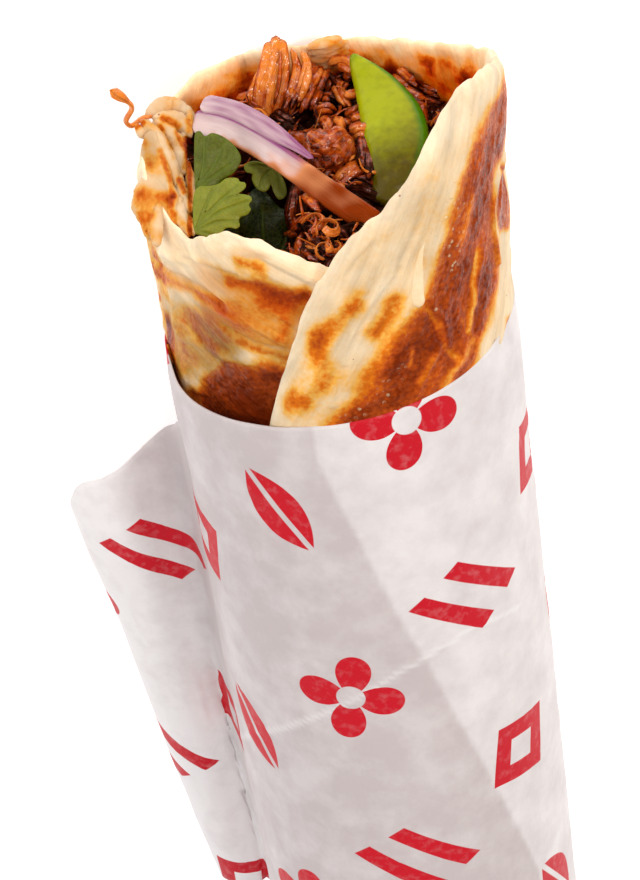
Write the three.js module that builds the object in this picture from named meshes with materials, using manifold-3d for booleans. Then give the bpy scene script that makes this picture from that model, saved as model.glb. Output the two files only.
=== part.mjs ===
// A kati roll: a flaky flatbread rolled round spiced shredded chicken, red onion, green pepper and
// coriander, held in a paper wrapper whose loose outer end curls away on one side.
// It lies on a table on its long side. Units are millimetres, +Z is up and the open end faces -Y.
// The origin is on the table, at the middle of the roll's bounding box.
import * as THREE from "three";
import { mergeVertices } from "three/addons/utils/BufferGeometryUtils.js";
import Module from "manifold-3d";

const wasm = await Module();
wasm.setup();

// ---- Driving dimensions -------------------------------------------------------------------
const PAPER_RADIUS = 30.4; // outside of the wrapped paper
const PAPER_THICKNESS = 0.45;
const PAPER_LENGTH = 150; // from the paper's rim to its folded end
const AXIS_HEIGHT = 29.2; // the roll's axis above the table, less than the radius: it sags flat
const GAP = 0.3; // clearance between neighbouring pieces

const BREAD_THICKNESS = 2.6;
const BREAD_OUTER_LAYER = 28.25; // middle of the bread's thickness, where one layer lies outside
const BREAD_INNER_LAYER = 25.4; // the same, where the bread runs on under its own flap
const BREAD_END = -143; // the bread's far end, inside the paper

const FILLING_SLOPE = 0.2; // the filling stands higher at the back of the mouth than in front
const FILLING_LEVEL = 27.8; // the filling's height past the paper's rim, on the axis
const POCKET_DEPTH = 14; // the hollow in the filling where the leaves stand

const CURL_START = -94; // angle where the loose paper leaves the roll
const CURL_REACH = 54.4; // its reach from the roll's axis, at its upper corner
const CURL_CORNER = -43; // the upper corner, past the paper's rim
const CURL_TAPER = 0.121; // how much less it reaches per millimetre below that corner

// ---- Places on the roll -------------------------------------------------------------------
// across: to the side away from the loose paper. rise: above the axis. along: from the paper's
// rim towards the mouth, so the paper's folded end is at -PAPER_LENGTH.
const at = (across, rise, along) => new THREE.Vector3(-across, -along, AXIS_HEIGHT + rise);

// The same by an angle round the axis, in degrees: 0 is the top, 90 the side away from the curl.
// lift keeps a layer that far above the table, which flattens the underside.
function onRoll(angle, radius, along, lift = 0) {
  const turn = THREE.MathUtils.degToRad(angle);
  const rise = Math.max(radius * Math.cos(turn), lift - AXIS_HEIGHT);
  return at(radius * Math.sin(turn), rise, along);
}

const smooth = THREE.MathUtils.smoothstep;
const lerp = THREE.MathUtils.lerp;

// A smooth curve through [position, value] pairs, read at a position.
function profile(points) {
  return (x) => {
    if (x <= points[0][0]) return points[0][1];
    const next = points.findIndex(([position]) => position >= x);
    if (next < 0) return points[points.length - 1][1];
    const [x0, y0] = points[next - 1];
    const [x1, y1] = points[next];
    const before = points[Math.max(next - 2, 0)];
    const after = points[Math.min(next + 1, points.length - 1)];
    const slopeIn = (y1 - before[1]) / (x1 - before[0]);
    const slopeOut = (after[1] - y0) / (after[0] - x0);
    const s = (x - x0) / (x1 - x0);
    const width = x1 - x0;
    return (
      y0 * (1 + 2 * s) * (1 - s) ** 2 +
      width * slopeIn * s * (1 - s) ** 2 +
      y1 * s * s * (3 - 2 * s) +
      width * slopeOut * s * s * (s - 1)
    );
  };
}

// Repeatable random numbers from 0 to 1.
function randomSource(seed) {
  let state = seed;
  return () => {
    state = (state * 1664525 + 1013904223) % 4294967296;
    return state / 4294967296;
  };
}

// ---- Solids -------------------------------------------------------------------------------
function solidFrom(points, triangles) {
  const geometry = new THREE.BufferGeometry().setFromPoints(points).setIndex(triangles);
  const merged = mergeVertices(geometry, 1e-4);
  const mesh = (triVerts) =>
    new wasm.Manifold(
      new wasm.Mesh({
        numProp: 3,
        vertProperties: new Float32Array(merged.attributes.position.array),
        triVerts,
      }),
    );
  const faces = new Uint32Array(merged.index.array);
  const made = mesh(faces);
  return made.volume() > 0 ? made : mesh(faces.reverse());
}

// A closed skin over rings of points, drawn to one point at each end.
function loft(rings, first, last) {
  const sides = rings[0].length;
  const points = [first, ...rings.flat(), last];
  const corner = (ring, side) => 1 + ring * sides + (side % sides);
  const end = points.length - 1;
  const triangles = [];
  for (let side = 0; side < sides; side++) {
    triangles.push(0, corner(0, side + 1), corner(0, side));
    triangles.push(end, corner(rings.length - 1, side), corner(rings.length - 1, side + 1));
    for (let ring = 0; ring < rings.length - 1; ring++) {
      const [a, b] = [corner(ring, side), corner(ring, side + 1)];
      const [c, d] = [corner(ring + 1, side + 1), corner(ring + 1, side)];
      triangles.push(a, b, c, a, c, d);
    }
  }
  return solidFrom(points, triangles);
}

// A sheet with a thickness: two grids of points, front and back, joined along their outline.
function sheet(columns, rows, front, back) {
  const points = [];
  for (const face of [front, back]) {
    for (let i = 0; i < columns; i++) {
      for (let j = 0; j < rows; j++) points.push(face(i, j));
    }
  }
  const index = (side, i, j) => side * columns * rows + i * rows + j;
  const triangles = [];
  const quad = (a, b, c, d) => triangles.push(a, b, c, a, c, d);
  for (let i = 0; i < columns - 1; i++) {
    for (let j = 0; j < rows - 1; j++) {
      quad(index(0, i, j), index(0, i + 1, j), index(0, i + 1, j + 1), index(0, i, j + 1));
      quad(index(1, i, j), index(1, i, j + 1), index(1, i + 1, j + 1), index(1, i + 1, j));
    }
  }
  const rim = (i0, j0, i1, j1) =>
    quad(index(0, i0, j0), index(1, i0, j0), index(1, i1, j1), index(0, i1, j1));
  for (let i = 0; i < columns - 1; i++) {
    rim(i, 0, i + 1, 0);
    rim(i + 1, rows - 1, i, rows - 1);
  }
  for (let j = 0; j < rows - 1; j++) {
    rim(0, j + 1, 0, j);
    rim(columns - 1, j, columns - 1, j + 1);
  }
  return solidFrom(points, triangles);
}

// A strip or strand along a smooth path. size(u) gives its half width, which lies along wide,
// and its half thickness, for u from 0 to 1. clearance grows it all round.
function strand(path, wide, size, steps, sides, clearance = 0) {
  const curve = new THREE.CatmullRomCurve3(path.map((p) => at(...p)));
  const wideway = at(...wide).sub(at(0, 0, 0));
  const rings = [];
  for (let step = 0; step <= steps; step++) {
    const u = step / steps;
    const tangent = curve.getTangentAt(u);
    const pastEnd = step === steps ? clearance : step === 0 ? -clearance : 0;
    const centre = curve.getPointAt(u).addScaledVector(tangent, pastEnd);
    const broad = wideway.clone().addScaledVector(tangent, -wideway.dot(tangent)).normalize();
    const thin = new THREE.Vector3().crossVectors(tangent, broad);
    const [halfWidth, halfThickness] = size(u).map((half) => half + clearance);
    const ring = [];
    for (let side = 0; side < sides; side++) {
      const turn = (2 * Math.PI * (side + 0.5)) / sides;
      ring.push(
        centre
          .clone()
          .addScaledVector(broad, halfWidth * Math.cos(turn))
          .addScaledVector(thin, halfThickness * Math.sin(turn)),
      );
    }
    rings.push(ring);
  }
  const tip = (u, reach) => curve.getPointAt(u).addScaledVector(curve.getTangentAt(u), reach);
  return loft(rings, tip(0, -clearance), tip(1, clearance));
}

// The largest body of a solid: scraps that a cut leaves loose are dropped.
const largestBody = (made) =>
  made.decompose().reduce((most, body) => (body.volume() > most.volume() ? body : most));

const cutAll = (made, cutters) =>
  largestBody(cutters.reduce((rest, cutter) => rest.subtract(cutter), made));

const joinAll = (pieces) => pieces.reduce((whole, piece) => whole.add(piece));

// ---- The flatbread ------------------------------------------------------------------------
// The rim of the rolled bread: [angle, height past the paper's rim]. The outer layer starts with
// its slanting flap at -52 degrees, goes once round, and runs on inside under that flap.
const breadRim = profile([
  [-52, -95], [-46, -45], [-34.5, -10], [-20.3, 11], [-1.8, 29.3], [22.3, 38.4], [45, 48.2],
  [64, 49.4], [80, 47.6], [97, 44.5], [143, 39.3], [210, 39], [255, 36], [275, 33.2],
  [297, 28.6], [325, 32.8], [356, 27.6], [380, 20], [430, 6],
]);
const breadFoot = profile([[-52, -101], [-46, -122], [-30, -138], [0, BREAD_END], [30, BREAD_END]]);
const breadRadius = (angle) =>
  lerp(BREAD_OUTER_LAYER, BREAD_INNER_LAYER, smooth(angle, 262, 305));

const BREAD_ANGLES = [
  ...Array.from({ length: 8 }, (_, k) => -52 + 3.5 * k),
  ...Array.from({ length: 19 }, (_, k) => -24 + 5 * k),
  ...Array.from({ length: 40 }, (_, k) => 71 + (359 / 39) * k),
];
const BREAD_ROWS = [0, 0.3, 0.6, 0.76, 0.8, 0.84, 0.88, 0.92, 0.955, 0.985, 1];

// Blisters and pulled folds that stand out of the bread's outside, above the paper.
function breadRelief(angle, along) {
  const turn = THREE.MathUtils.degToRad(angle);
  const folds = Math.sin(7 * turn + along * 0.16) + 0.6 * Math.sin(13 * turn - along * 0.31 + 1);
  const covered = smooth(angle, 300, 320);
  return 0.34 * folds * smooth(along, 2, 12) * (1 - covered);
}

// The flap's upper corner peels away from the roll.
function breadFlare(angle, along) {
  const nearCorner = smooth(angle, 52, 88) * (1 - smooth(angle, 96, 122));
  return nearCorner * (0.9 * smooth(along, 4, 24) + 1.4 * smooth(along, 26, 46));
}

function breadPoint(face) {
  return (i, j) => {
    const angle = BREAD_ANGLES[i];
    const share = BREAD_ROWS[j];
    const along = lerp(breadFoot(angle), breadRim(angle), share);
    const towardEdge = Math.max(smooth(share, 0.95, 1), 1 - smooth(angle, -52, -44));
    const half = (BREAD_THICKNESS / 2) * (1 - 0.45 * towardEdge);
    const relief = face > 0 ? breadRelief(angle, along) : 0;
    const radius = breadRadius(angle) + face * half + relief + breadFlare(angle, along);
    const inward = BREAD_OUTER_LAYER + BREAD_THICKNESS / 2 - radius;
    return onRoll(angle, radius, along, PAPER_THICKNESS + GAP + Math.max(inward, 0));
  };
}

// The rolled edge and the bulge where the bread crumples beside the curl. clearance grows them,
// so that the same shape also cuts the filling free.
function breadCrumple(clearance) {
  const rolledEdge = strand(
    [[-22.2, -15, 36.3], [-23.7, -9, 36.3], [-23.8, -3, 33.8], [-23.6, 4, 31], [-23.2, 10, 27.6]],
    [0, 0.4, 1],
    (u) => [1.9 + 0.5 * Math.sin(9 * u), 2.1 + 0.3 * Math.cos(11 * u)],
    14,
    8,
    clearance,
  );
  const bulge = strand(
    [[-28, 0, 21], [-28.5, 0, 25], [-28.6, 0, 29], [-28.1, -1, 33]],
    [0, 1, 0],
    (u) => [5.2 * Math.sin(Math.PI * (0.15 + 0.7 * u)), 2 * Math.sin(Math.PI * (0.12 + 0.76 * u))],
    8,
    10,
    clearance,
  );
  return [rolledEdge, bulge];
}

// The lip of an inner flake that folds over the filling at the back of the mouth.
const breadFlake = () =>
  strand(
    [[5.4, -27.6, 33], [5.2, -26.4, 37], [4.6, -25, 39.6]],
    [1, 0, 0],
    (u) => [3.7 - 0.9 * u * u, 1.5 - 0.3 * u],
    6,
    10,
  );

function flatbread() {
  const rolled = sheet(BREAD_ANGLES.length, BREAD_ROWS.length, breadPoint(1), breadPoint(-1));
  return largestBody(joinAll([rolled, ...breadCrumple(0), breadFlake()]));
}

// ---- The fillings that show as single pieces -------------------------------------------------
// Each takes a clearance, so that the same shape, grown, cuts its place in the shredded chicken.
const fibrousChicken = (clearance) =>
  strand(
    [[-2.6, -23.2, 42.4], [-4.2, -21.8, 38], [-6, -18.8, 32.5], [-7.4, -15.4, 27]],
    [1, 0, 0.15],
    (u) => [(3.2 + 2.4 * Math.sin(2.4 * u + 0.3)) * (1 - 0.25 * u), 1.7 + 0.25 * Math.sin(8 * u)],
    10,
    12,
    clearance,
  );

const chickenChunk = (clearance) =>
  strand(
    [[-1.8, -3.8, 29.6], [0.8, -3.9, 30.2], [3.4, -3.6, 30.2], [6, -3, 29.4]],
    [0, -0.6, 0.8],
    (u) => [1.6 + 2.6 * Math.sin(Math.PI * u) ** 0.7, 1.4 + 1.5 * Math.sin(Math.PI * u)],
    8,
    10,
    clearance,
  );

// A ring of red onion shows as two nested strips, the outer one above with its purple skin.
const ONION_PATH = [
  [-18.8, -12.5, 35.5], [-12.8, -7, 35.6], [-6, -0.4, 34], [1.4, 7.2, 30.6], [8.6, 13.4, 26.4],
];
const ONION_UP = [0.53, -0.18, 0.83]; // across a strip's cut face, towards its skin
const onionStrip = (clearance, path, halfWidth, halfThickness) =>
  strand(path, ONION_UP, () => [halfWidth, halfThickness], 3 * path.length, 8, clearance);
const onionFront = (clearance) => onionStrip(clearance, ONION_PATH, 2.2, 0.95);
const onionBack = (clearance) =>
  onionStrip(
    clearance,
    ONION_PATH.slice(0, 4).map((place) => place.map((value, k) => value + 3.6 * ONION_UP[k])),
    1.25,
    0.8,
  );

// A slice of green pepper, pointed at its upper end, its skin on the side away from the curl.
const greenPepper = (clearance) =>
  strand(
    [[9.2, -21.4, 38.2], [12, -15, 36.2], [13.8, -7.6, 32.6], [13.4, 0, 28.6], [11.4, 6.6, 24]],
    [1, 0.2, -0.1],
    (u) => [0.5 + 4.9 * Math.sin(Math.PI * (0.06 + 0.84 * u)) ** 0.8, 1.5],
    12,
    10,
    clearance,
  );

// A coriander leaf: lobes fan out from the stalk over a wavy, thin blade.
const LEAF_THICKNESS = 0.5;
const LEAF_LOBES = 4.2;
const LEAF_STEPS = 26;
const LEAF_RINGS = [0.12, 0.45, 0.75, 1];
function corianderLeaf(clearance, { stalk, tip, side, reach, spread }) {
  const base = at(...stalk);
  const forward = at(...tip).sub(at(0, 0, 0)).normalize();
  const sideways = at(...side).sub(at(0, 0, 0));
  sideways.addScaledVector(forward, -sideways.dot(forward)).normalize();
  const normal = new THREE.Vector3().crossVectors(forward, sideways);
  const half = LEAF_THICKNESS / 2 + clearance;
  const outline = (turn) =>
    reach * (0.77 + 0.17 * Math.cos(LEAF_LOBES * turn) + 0.06 * Math.cos(3.1 * LEAF_LOBES * turn + 0.6));
  const point = (face) => (i, j) => {
    const turn = THREE.MathUtils.degToRad(spread) * (i / (LEAF_STEPS - 1) - 0.5);
    const outward = j === LEAF_RINGS.length - 1 ? clearance : j === 0 ? -clearance : 0;
    const distance = outline(turn) * LEAF_RINGS[j] + outward;
    const along = i === LEAF_STEPS - 1 ? clearance : i === 0 ? -clearance : 0;
    const wave = 0.05 * distance * Math.sin(1.5 * LEAF_LOBES * turn + 0.35 * distance);
    return base
      .clone()
      .addScaledVector(forward, distance * Math.cos(turn) - along * Math.sin(turn))
      .addScaledVector(sideways, distance * Math.sin(turn) + along * Math.cos(turn))
      .addScaledVector(normal, wave + face * half);
  };
  return sheet(LEAF_STEPS, LEAF_RINGS.length, point(1), point(-1));
}

// It leans on the bread at the side of the curl and faces out of the mouth.
const frontLeaf = (clearance) =>
  corianderLeaf(clearance, {
    stalk: [-19.7, 4.8, 33.2],
    tip: [0.98, 0.12, -0.16],
    side: [0.2, -0.577, 0.79],
    reach: 9.6,
    spread: 176,
  });

// It comes out of the chicken under the onion.
const smallLeaf = (clearance) =>
  corianderLeaf(clearance, {
    stalk: [-5.2, -4.6, 29.4],
    tip: [-0.9, 0.25, -0.36],
    side: [0, -0.577, 0.79],
    reach: 6.4,
    spread: 150,
  });

// It stands in the hollow, behind the other two.
const backLeaf = (clearance) =>
  corianderLeaf(clearance, {
    stalk: [-11.4, 3, 10.4],
    tip: [0.1, -0.42, 0.9],
    side: [1, 0, 0],
    reach: 17,
    spread: 110,
  });

// ---- The shredded chicken -------------------------------------------------------------------
// How far its open end stands past the paper's rim.
function fillingLevel(across, rise) {
  const besideOnion = 1 - smooth(across, -9, -3.4);
  const pocket = besideOnion * smooth(rise, -15, -4) * (1 - smooth(rise, 19, 24));
  const lumps =
    Math.sin(0.9 * across + 0.5 * rise) * Math.cos(0.75 * rise - 0.35 * across) +
    0.5 * Math.sin(1.7 * across - 1.1 * rise);
  return FILLING_LEVEL - FILLING_SLOPE * rise - POCKET_DEPTH * pocket + 0.9 * lumps;
}

const FILLING_END = BREAD_END + 2;
const FILLING_LIFT = PAPER_THICKNESS + BREAD_THICKNESS + 2 * GAP + 0.1; // above the table

// The filling's outside follows the inside of the bread: closer to the axis under the flap.
function fillingRadius(angle) {
  const turned = angle > 180 ? angle - 360 : angle;
  const underFlap = smooth(turned, -102, -62) * (1 - smooth(turned, 68, 84));
  const layer = lerp(BREAD_OUTER_LAYER, BREAD_INNER_LAYER, underFlap);
  return layer - BREAD_THICKNESS / 2 - GAP - 0.1;
}

function fillingCore() {
  const SIDES = 32;
  const angles = Array.from({ length: SIDES }, (_, k) => (360 / SIDES) * k);
  const ring = (share, along) =>
    angles.map((angle) => {
      const spot = onRoll(angle, fillingRadius(angle) * share, 0, FILLING_LIFT);
      const level = along ?? fillingLevel(-spot.x, spot.z - AXIS_HEIGHT);
      return new THREE.Vector3(spot.x, -level, spot.z);
    });
  const body = [FILLING_END, -70, 8].map((along) => ring(1, along));
  const top = [1, 0.85, 0.7, 0.54, 0.36, 0.18].map((share) => ring(share));
  return loft([...body, ...top], at(0, 0, FILLING_END), at(0, 0, fillingLevel(0, 0)));
}

// Torn shreds lie on the filling, seeded, spread evenly in a sunflower pattern.
function shreds(count) {
  const random = randomSource(11);
  const GOLDEN_ANGLE = 2.39996;
  return Array.from({ length: count }, (_, k) => {
    const distance = 21 * Math.sqrt((k + 0.6) / count);
    const across = distance * Math.sin(k * GOLDEN_ANGLE);
    const rise = distance * Math.cos(k * GOLDEN_ANGLE);
    const along = fillingLevel(across, rise);
    const heading = random() * Math.PI;
    const half = 2.2 + 2.2 * random();
    const arch = 0.8 + 1.2 * random();
    const end = (way) => [
      across + way * half * Math.cos(heading),
      rise + way * half * Math.sin(heading),
      along - 0.6,
    ];
    return strand(
      [end(-1), [across, rise, along + arch], end(1)],
      [Math.sin(heading), Math.cos(heading), 0.3],
      (u) => [0.7 + 0.9 * Math.sin(Math.PI * u), 0.5 + 0.5 * Math.sin(Math.PI * u)],
      3,
      5,
    );
  });
}

// Ring-like shreds that hang at the front of the mouth.
const curledShreds = () =>
  [
    [[-1.6, 9, 21], [-3, 9.6, 25], [-0.6, 9.4, 28.6], [2.8, 9.8, 27], [3.4, 10.6, 22.4]],
    [[-0.4, 11.6, 18.4], [-1.6, 12.6, 22], [1, 12.4, 24], [2.8, 12.4, 20.6], [1.6, 12, 17.4]],
  ].map((path) => strand(path, [0.2, 1, 0], () => [0.95, 0.5], 9, 5));

function shreddedChicken() {
  const heap = joinAll([fillingCore(), ...shreds(34), ...curledShreds()]);
  const insideOfBread = (along) =>
    Array.from({ length: 36 }, (_, k) => onRoll(10 * k, fillingRadius(10 * k), along, FILLING_LIFT));
  const bore = loft([insideOfBread(BREAD_END), insideOfBread(60)], at(0, 0, BREAD_END), at(0, 0, 60));
  const neighbours = [
    ...breadCrumple(GAP), fibrousChicken(GAP), chickenChunk(GAP), onionFront(GAP), onionBack(GAP),
    greenPepper(GAP), frontLeaf(GAP), smallLeaf(GAP), backLeaf(GAP),
  ];
  return cutAll(heap.intersect(bore), neighbours);
}

// A thin curly shred that hooks over the bread's rim.
const curlyShred = () =>
  strand(
    [[-25.6, -12.6, 37.7], [-27.4, -12.4, 37.5], [-29.2, -12.1, 36.7], [-29.9, -11.7, 38.1],
      [-28.5, -11.2, 40.4], [-29.2, -10.8, 42.2], [-30.9, -10.4, 44.2]],
    [0, 1, 0],
    (u) => [0.55 + 0.65 * smooth(u, 0.72, 0.95), 0.45 + 0.6 * smooth(u, 0.72, 0.95)],
    22,
    6,
  );

// ---- The paper ------------------------------------------------------------------------------
const PAPER_SIDES = 60;
const PLEATS = 8;

// The paper's rim, [angle, height]: it rises towards the side away from the curl.
const paperRim = profile([
  [-180, 0], [-120, 0.6], [-84, 1.2], [-74, -1.9], [-35, -0.9], [7, 0.4], [39, 1.7], [72, 2.8], [180, 0],
]);

// The folded end: pleats, each lapping the next, drawn in to the middle.
function endFold(angle, radius) {
  const turn = ((angle / 360) * PLEATS + PLEATS) % 1;
  const inward = 1 - radius / PAPER_RADIUS;
  return -PAPER_LENGTH + 4.2 * (1 - inward) ** 4 + 1.1 * turn * smooth(inward, 0.12, 0.4);
}

function paperTube() {
  const angles = Array.from({ length: PAPER_SIDES }, (_, k) => (360 / PAPER_SIDES) * k - 180);
  const WALL = [-6, -75, 6 - PAPER_LENGTH];
  const END_RADII = [29.4, 27, 21, 12, 4];
  const rings = (inset) => [
    angles.map((angle) => onRoll(angle, PAPER_RADIUS - inset, paperRim(angle), inset)),
    ...WALL.map((along) => angles.map((angle) => onRoll(angle, PAPER_RADIUS - inset, along, inset))),
    ...END_RADII.map((radius) =>
      angles.map((angle) => onRoll(angle, radius - inset, endFold(angle, radius) + inset, inset)),
    ),
  ];
  const centre = (inset) => at(0, 0, endFold(0, 0) + inset);
  return loft(
    [...rings(0).reverse(), ...rings(PAPER_THICKNESS)],
    centre(0),
    centre(PAPER_THICKNESS),
  );
}

// The loose end's section, as shares of how far it reaches past the roll: out from the roll, over
// a low crest, round the curl and back under it along the table.
const CURL_SECTION = [
  [0.09, 0.86], [0.28, 0.81], [0.57, 0.83], [0.86, 0.67], [1, 0.42], [0.89, 0.13], [0.57, 0.015],
];
// Its slanting free edge, [share of the way round, height past the paper's rim].
const curlEdge = profile([
  [0, -17], [0.1, -20.5], [0.2, -24], [0.335, -29.5], [0.43, -32], [0.55, -35.5], [0.68, -44], [1, -62],
]);

function curlSection(along) {
  const reach = CURL_REACH - PAPER_RADIUS - CURL_TAPER * Math.max(CURL_CORNER - along, 0);
  const turn = THREE.MathUtils.degToRad(CURL_START);
  const middle = PAPER_RADIUS - PAPER_THICKNESS / 2;
  return new THREE.SplineCurve([
    new THREE.Vector2(-middle * Math.sin(turn), AXIS_HEIGHT + middle * Math.cos(turn)),
    ...CURL_SECTION.map(([out, up]) => new THREE.Vector2(PAPER_RADIUS + out * reach, up * reach)),
  ]);
}

function paperCurl() {
  const COLUMNS = 22;
  const ROWS = 8;
  const point = (face) => (i, j) => {
    const share = i / (COLUMNS - 1);
    const along = lerp(1 - PAPER_LENGTH, curlEdge(share), j / (ROWS - 1));
    const section = curlSection(along);
    const place = section.getPointAt(share);
    const heading = section.getTangentAt(share);
    const out = place.x - (face * heading.y * PAPER_THICKNESS) / 2;
    const height = place.y + (face * heading.x * PAPER_THICKNESS) / 2;
    return at(-out, Math.max(height, face < 0 ? PAPER_THICKNESS : 0) - AXIS_HEIGHT, along);
  };
  return sheet(COLUMNS, ROWS, point(1), point(-1));
}

const paperWrapper = () => largestBody(paperTube().add(paperCurl()));

// ---- The whole roll -------------------------------------------------------------------------
const materials = {
  bread: new THREE.MeshStandardMaterial({ color: 0xe3b877, roughness: 0.62 }),
  chicken: new THREE.MeshStandardMaterial({ color: 0xa8521f, roughness: 0.42 }),
  onion: new THREE.MeshStandardMaterial({ color: 0xc9a3c0, roughness: 0.3 }),
  pepper: new THREE.MeshStandardMaterial({ color: 0x8fb52a, roughness: 0.28 }),
  leaf: new THREE.MeshStandardMaterial({ color: 0x4f7d22, roughness: 0.5, side: THREE.DoubleSide }),
  paper: new THREE.MeshStandardMaterial({ color: 0xf0ebea, roughness: 0.7, side: THREE.DoubleSide }),
};

const roll = new THREE.Group();

function addPiece(name, made, material) {
  const { vertProperties, triVerts } = made.getMesh();
  const geometry = new THREE.BufferGeometry();
  geometry.setAttribute("position", new THREE.BufferAttribute(vertProperties, 3));
  geometry.setIndex(new THREE.BufferAttribute(triVerts, 1));
  geometry.computeVertexNormals();
  const mesh = new THREE.Mesh(geometry, material);
  mesh.name = name;
  roll.add(mesh);
}

addPiece("paratha", flatbread(), materials.bread);
addPiece("shredded_chicken", shreddedChicken(), materials.chicken);
addPiece("fibrous_chicken", fibrousChicken(0), materials.chicken);
addPiece("chicken_chunk", chickenChunk(0), materials.chicken);
addPiece("curly_shred", curlyShred(), materials.chicken);
addPiece("onion_front", onionFront(0), materials.onion);
addPiece("onion_back", onionBack(0), materials.onion);
addPiece("green_pepper", greenPepper(0), materials.pepper);
addPiece("coriander_front", frontLeaf(0), materials.leaf);
addPiece("coriander_small", smallLeaf(0), materials.leaf);
addPiece("coriander_back", backLeaf(0), materials.leaf);
addPiece("paper_wrapper", paperWrapper(), materials.paper);

// The origin goes under the middle of the bounding box, on the table.
const bounds = new THREE.Box3().setFromObject(roll);
const middle = bounds.getCenter(new THREE.Vector3());
roll.position.set(-middle.x, -middle.y, -bounds.min.z);

export default roll;
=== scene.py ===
"""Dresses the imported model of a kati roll: a flaky flatbread rolled round pulled chicken, red onion,
green pepper and coriander, in a printed paper wrapper whose loose end curls away.

Lengths in the drawing are millimetres on the roll itself: across (away from the loose paper), rise
(above the roll's axis) and along (from the paper's rim towards the mouth). Angles go round the axis
in degrees, 0 on top and 90 away from the loose paper.
"""
import math

import bpy
import numpy as np
from bpy.props import FloatProperty, FloatVectorProperty, IntProperty, PointerProperty
from mathutils import Matrix, Vector, noise


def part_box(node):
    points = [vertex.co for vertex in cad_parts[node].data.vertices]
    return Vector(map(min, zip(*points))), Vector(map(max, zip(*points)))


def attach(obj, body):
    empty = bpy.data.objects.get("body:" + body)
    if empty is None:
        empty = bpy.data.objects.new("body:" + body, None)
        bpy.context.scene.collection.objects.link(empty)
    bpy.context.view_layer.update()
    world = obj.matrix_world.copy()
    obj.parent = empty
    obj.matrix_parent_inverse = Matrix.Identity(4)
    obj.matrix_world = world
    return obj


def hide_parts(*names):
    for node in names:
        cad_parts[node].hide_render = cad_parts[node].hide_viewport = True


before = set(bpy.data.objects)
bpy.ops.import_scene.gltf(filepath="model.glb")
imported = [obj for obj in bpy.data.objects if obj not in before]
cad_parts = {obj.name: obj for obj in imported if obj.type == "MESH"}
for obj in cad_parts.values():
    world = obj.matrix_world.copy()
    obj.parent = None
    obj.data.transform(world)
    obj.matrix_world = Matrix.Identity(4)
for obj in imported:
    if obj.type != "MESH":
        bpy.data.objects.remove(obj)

bl_info = {
    "name": "Kati Roll",
    "version": (1, 0, 0),
    "blender": (4, 5, 0),
    "location": "3D View > Sidebar > Kati Roll",
    "description": "Builds a kati roll in a paper wrapper, piece by piece",
    "category": "Add Mesh",
}

# ---- The drawing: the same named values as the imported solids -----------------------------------
MM = 0.001
PAPER_RADIUS = 30.4
PAPER_LENGTH = 150.0
AXIS_HEIGHT = 29.2
BREAD_OUTER_LAYER = 28.25
BREAD_INNER_LAYER = 25.4
FILLING_LEVEL = 27.8
FILLING_SLOPE = 0.2
POCKET_DEPTH = 14.0
CURL_START = -94.0
CURL_REACH = 54.4
CURL_CORNER = -43.0
CURL_TAPER = 0.121

# The roll's axis and the paper's rim, in the model's frame.
WRAPPER_LOW, WRAPPER_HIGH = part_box("paper_wrapper")
AXIS_X = WRAPPER_LOW.x + PAPER_RADIUS * MM
RIM_Y = WRAPPER_HIGH.y - PAPER_LENGTH * MM


def smooth(x, start, end):
    """An eased step from 0 at start to 1 at end."""
    share = np.clip((np.asarray(x, float) - start) / (end - start), 0, 1)
    return share * share * (3 - 2 * share)


def profile(points):
    """A smooth curve through (position, value) pairs, read at any positions."""
    xs, ys = np.array(points, float).T
    slopes = np.empty_like(ys)
    slopes[1:-1] = (ys[2:] - ys[:-2]) / (xs[2:] - xs[:-2])
    slopes[0] = (ys[1] - ys[0]) / (xs[1] - xs[0])
    slopes[-1] = (ys[-1] - ys[-2]) / (xs[-1] - xs[-2])

    def read(x):
        x = np.clip(x, xs[0], xs[-1])
        k = np.clip(np.searchsorted(xs, x) - 1, 0, len(xs) - 2)
        width = xs[k + 1] - xs[k]
        s = (x - xs[k]) / width
        return (
            ys[k] * (1 + 2 * s) * (1 - s) ** 2
            + width * slopes[k] * s * (1 - s) ** 2
            + ys[k + 1] * s * s * (3 - 2 * s)
            + width * slopes[k + 1] * s * s * (s - 1)
        )

    return read


def grain(points, size, seed=0.0):
    """Smooth seeded noise from about -1 to 1, with humps of that size in mm."""
    spots = np.atleast_2d(points) / size + np.array((31.7, -12.3, 7.9)) * (seed + 1.37)
    return np.array([noise.noise(spot) for spot in spots.tolist()]) * 1.6


def blisters(points, size, seed=0.0):
    """Round bumps from 0 to 1 packed side by side, of that size in mm."""
    spots = np.atleast_2d(points) / size + np.array((-8.1, 14.9, 3.3)) * (seed + 0.61)
    nearest = np.array([noise.voronoi(spot)[0][0] for spot in spots.tolist()])
    return np.clip(1 - (nearest / 0.62) ** 2, 0, 1)


def solid_place(across, rise, along):
    """Points of the drawing, as rows of (across, rise, along)."""
    return np.stack(np.broadcast_arrays(across, rise, along), axis=-1).astype(float)


def on_roll(angle, radius, along, lift=0.0):
    """A place round the axis. lift keeps it that far above the table, where the roll lies flat."""
    turn = np.radians(angle)
    rise = np.maximum(radius * np.cos(turn), lift - AXIS_HEIGHT)
    return solid_place(radius * np.sin(turn), rise, along)


def to_model(places):
    """Places of the drawing in the model's frame, in metres."""
    places = np.atleast_2d(places)
    return np.stack(
        (
            AXIS_X - places[:, 0] * MM,
            RIM_Y - places[:, 2] * MM,
            (AXIS_HEIGHT + places[:, 1]) * MM,
        ),
        axis=-1,
    )


# ---- The photograph's camera -------------------------------------------------------------------
# Fitted to the outline: it looks down on the roll's top side, the open end up.
PHOTO_TILT = math.radians(36.0)
PHOTO_TURN = math.radians(-9.1)
PHOTO_DISTANCE = 450.0
PHOTO_FOCAL = 2646.0
PHOTO_WIDE = 640
PHOTO_TALL = 880
RIM_CENTRE_PIXEL = (340.2, 320.5)


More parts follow.
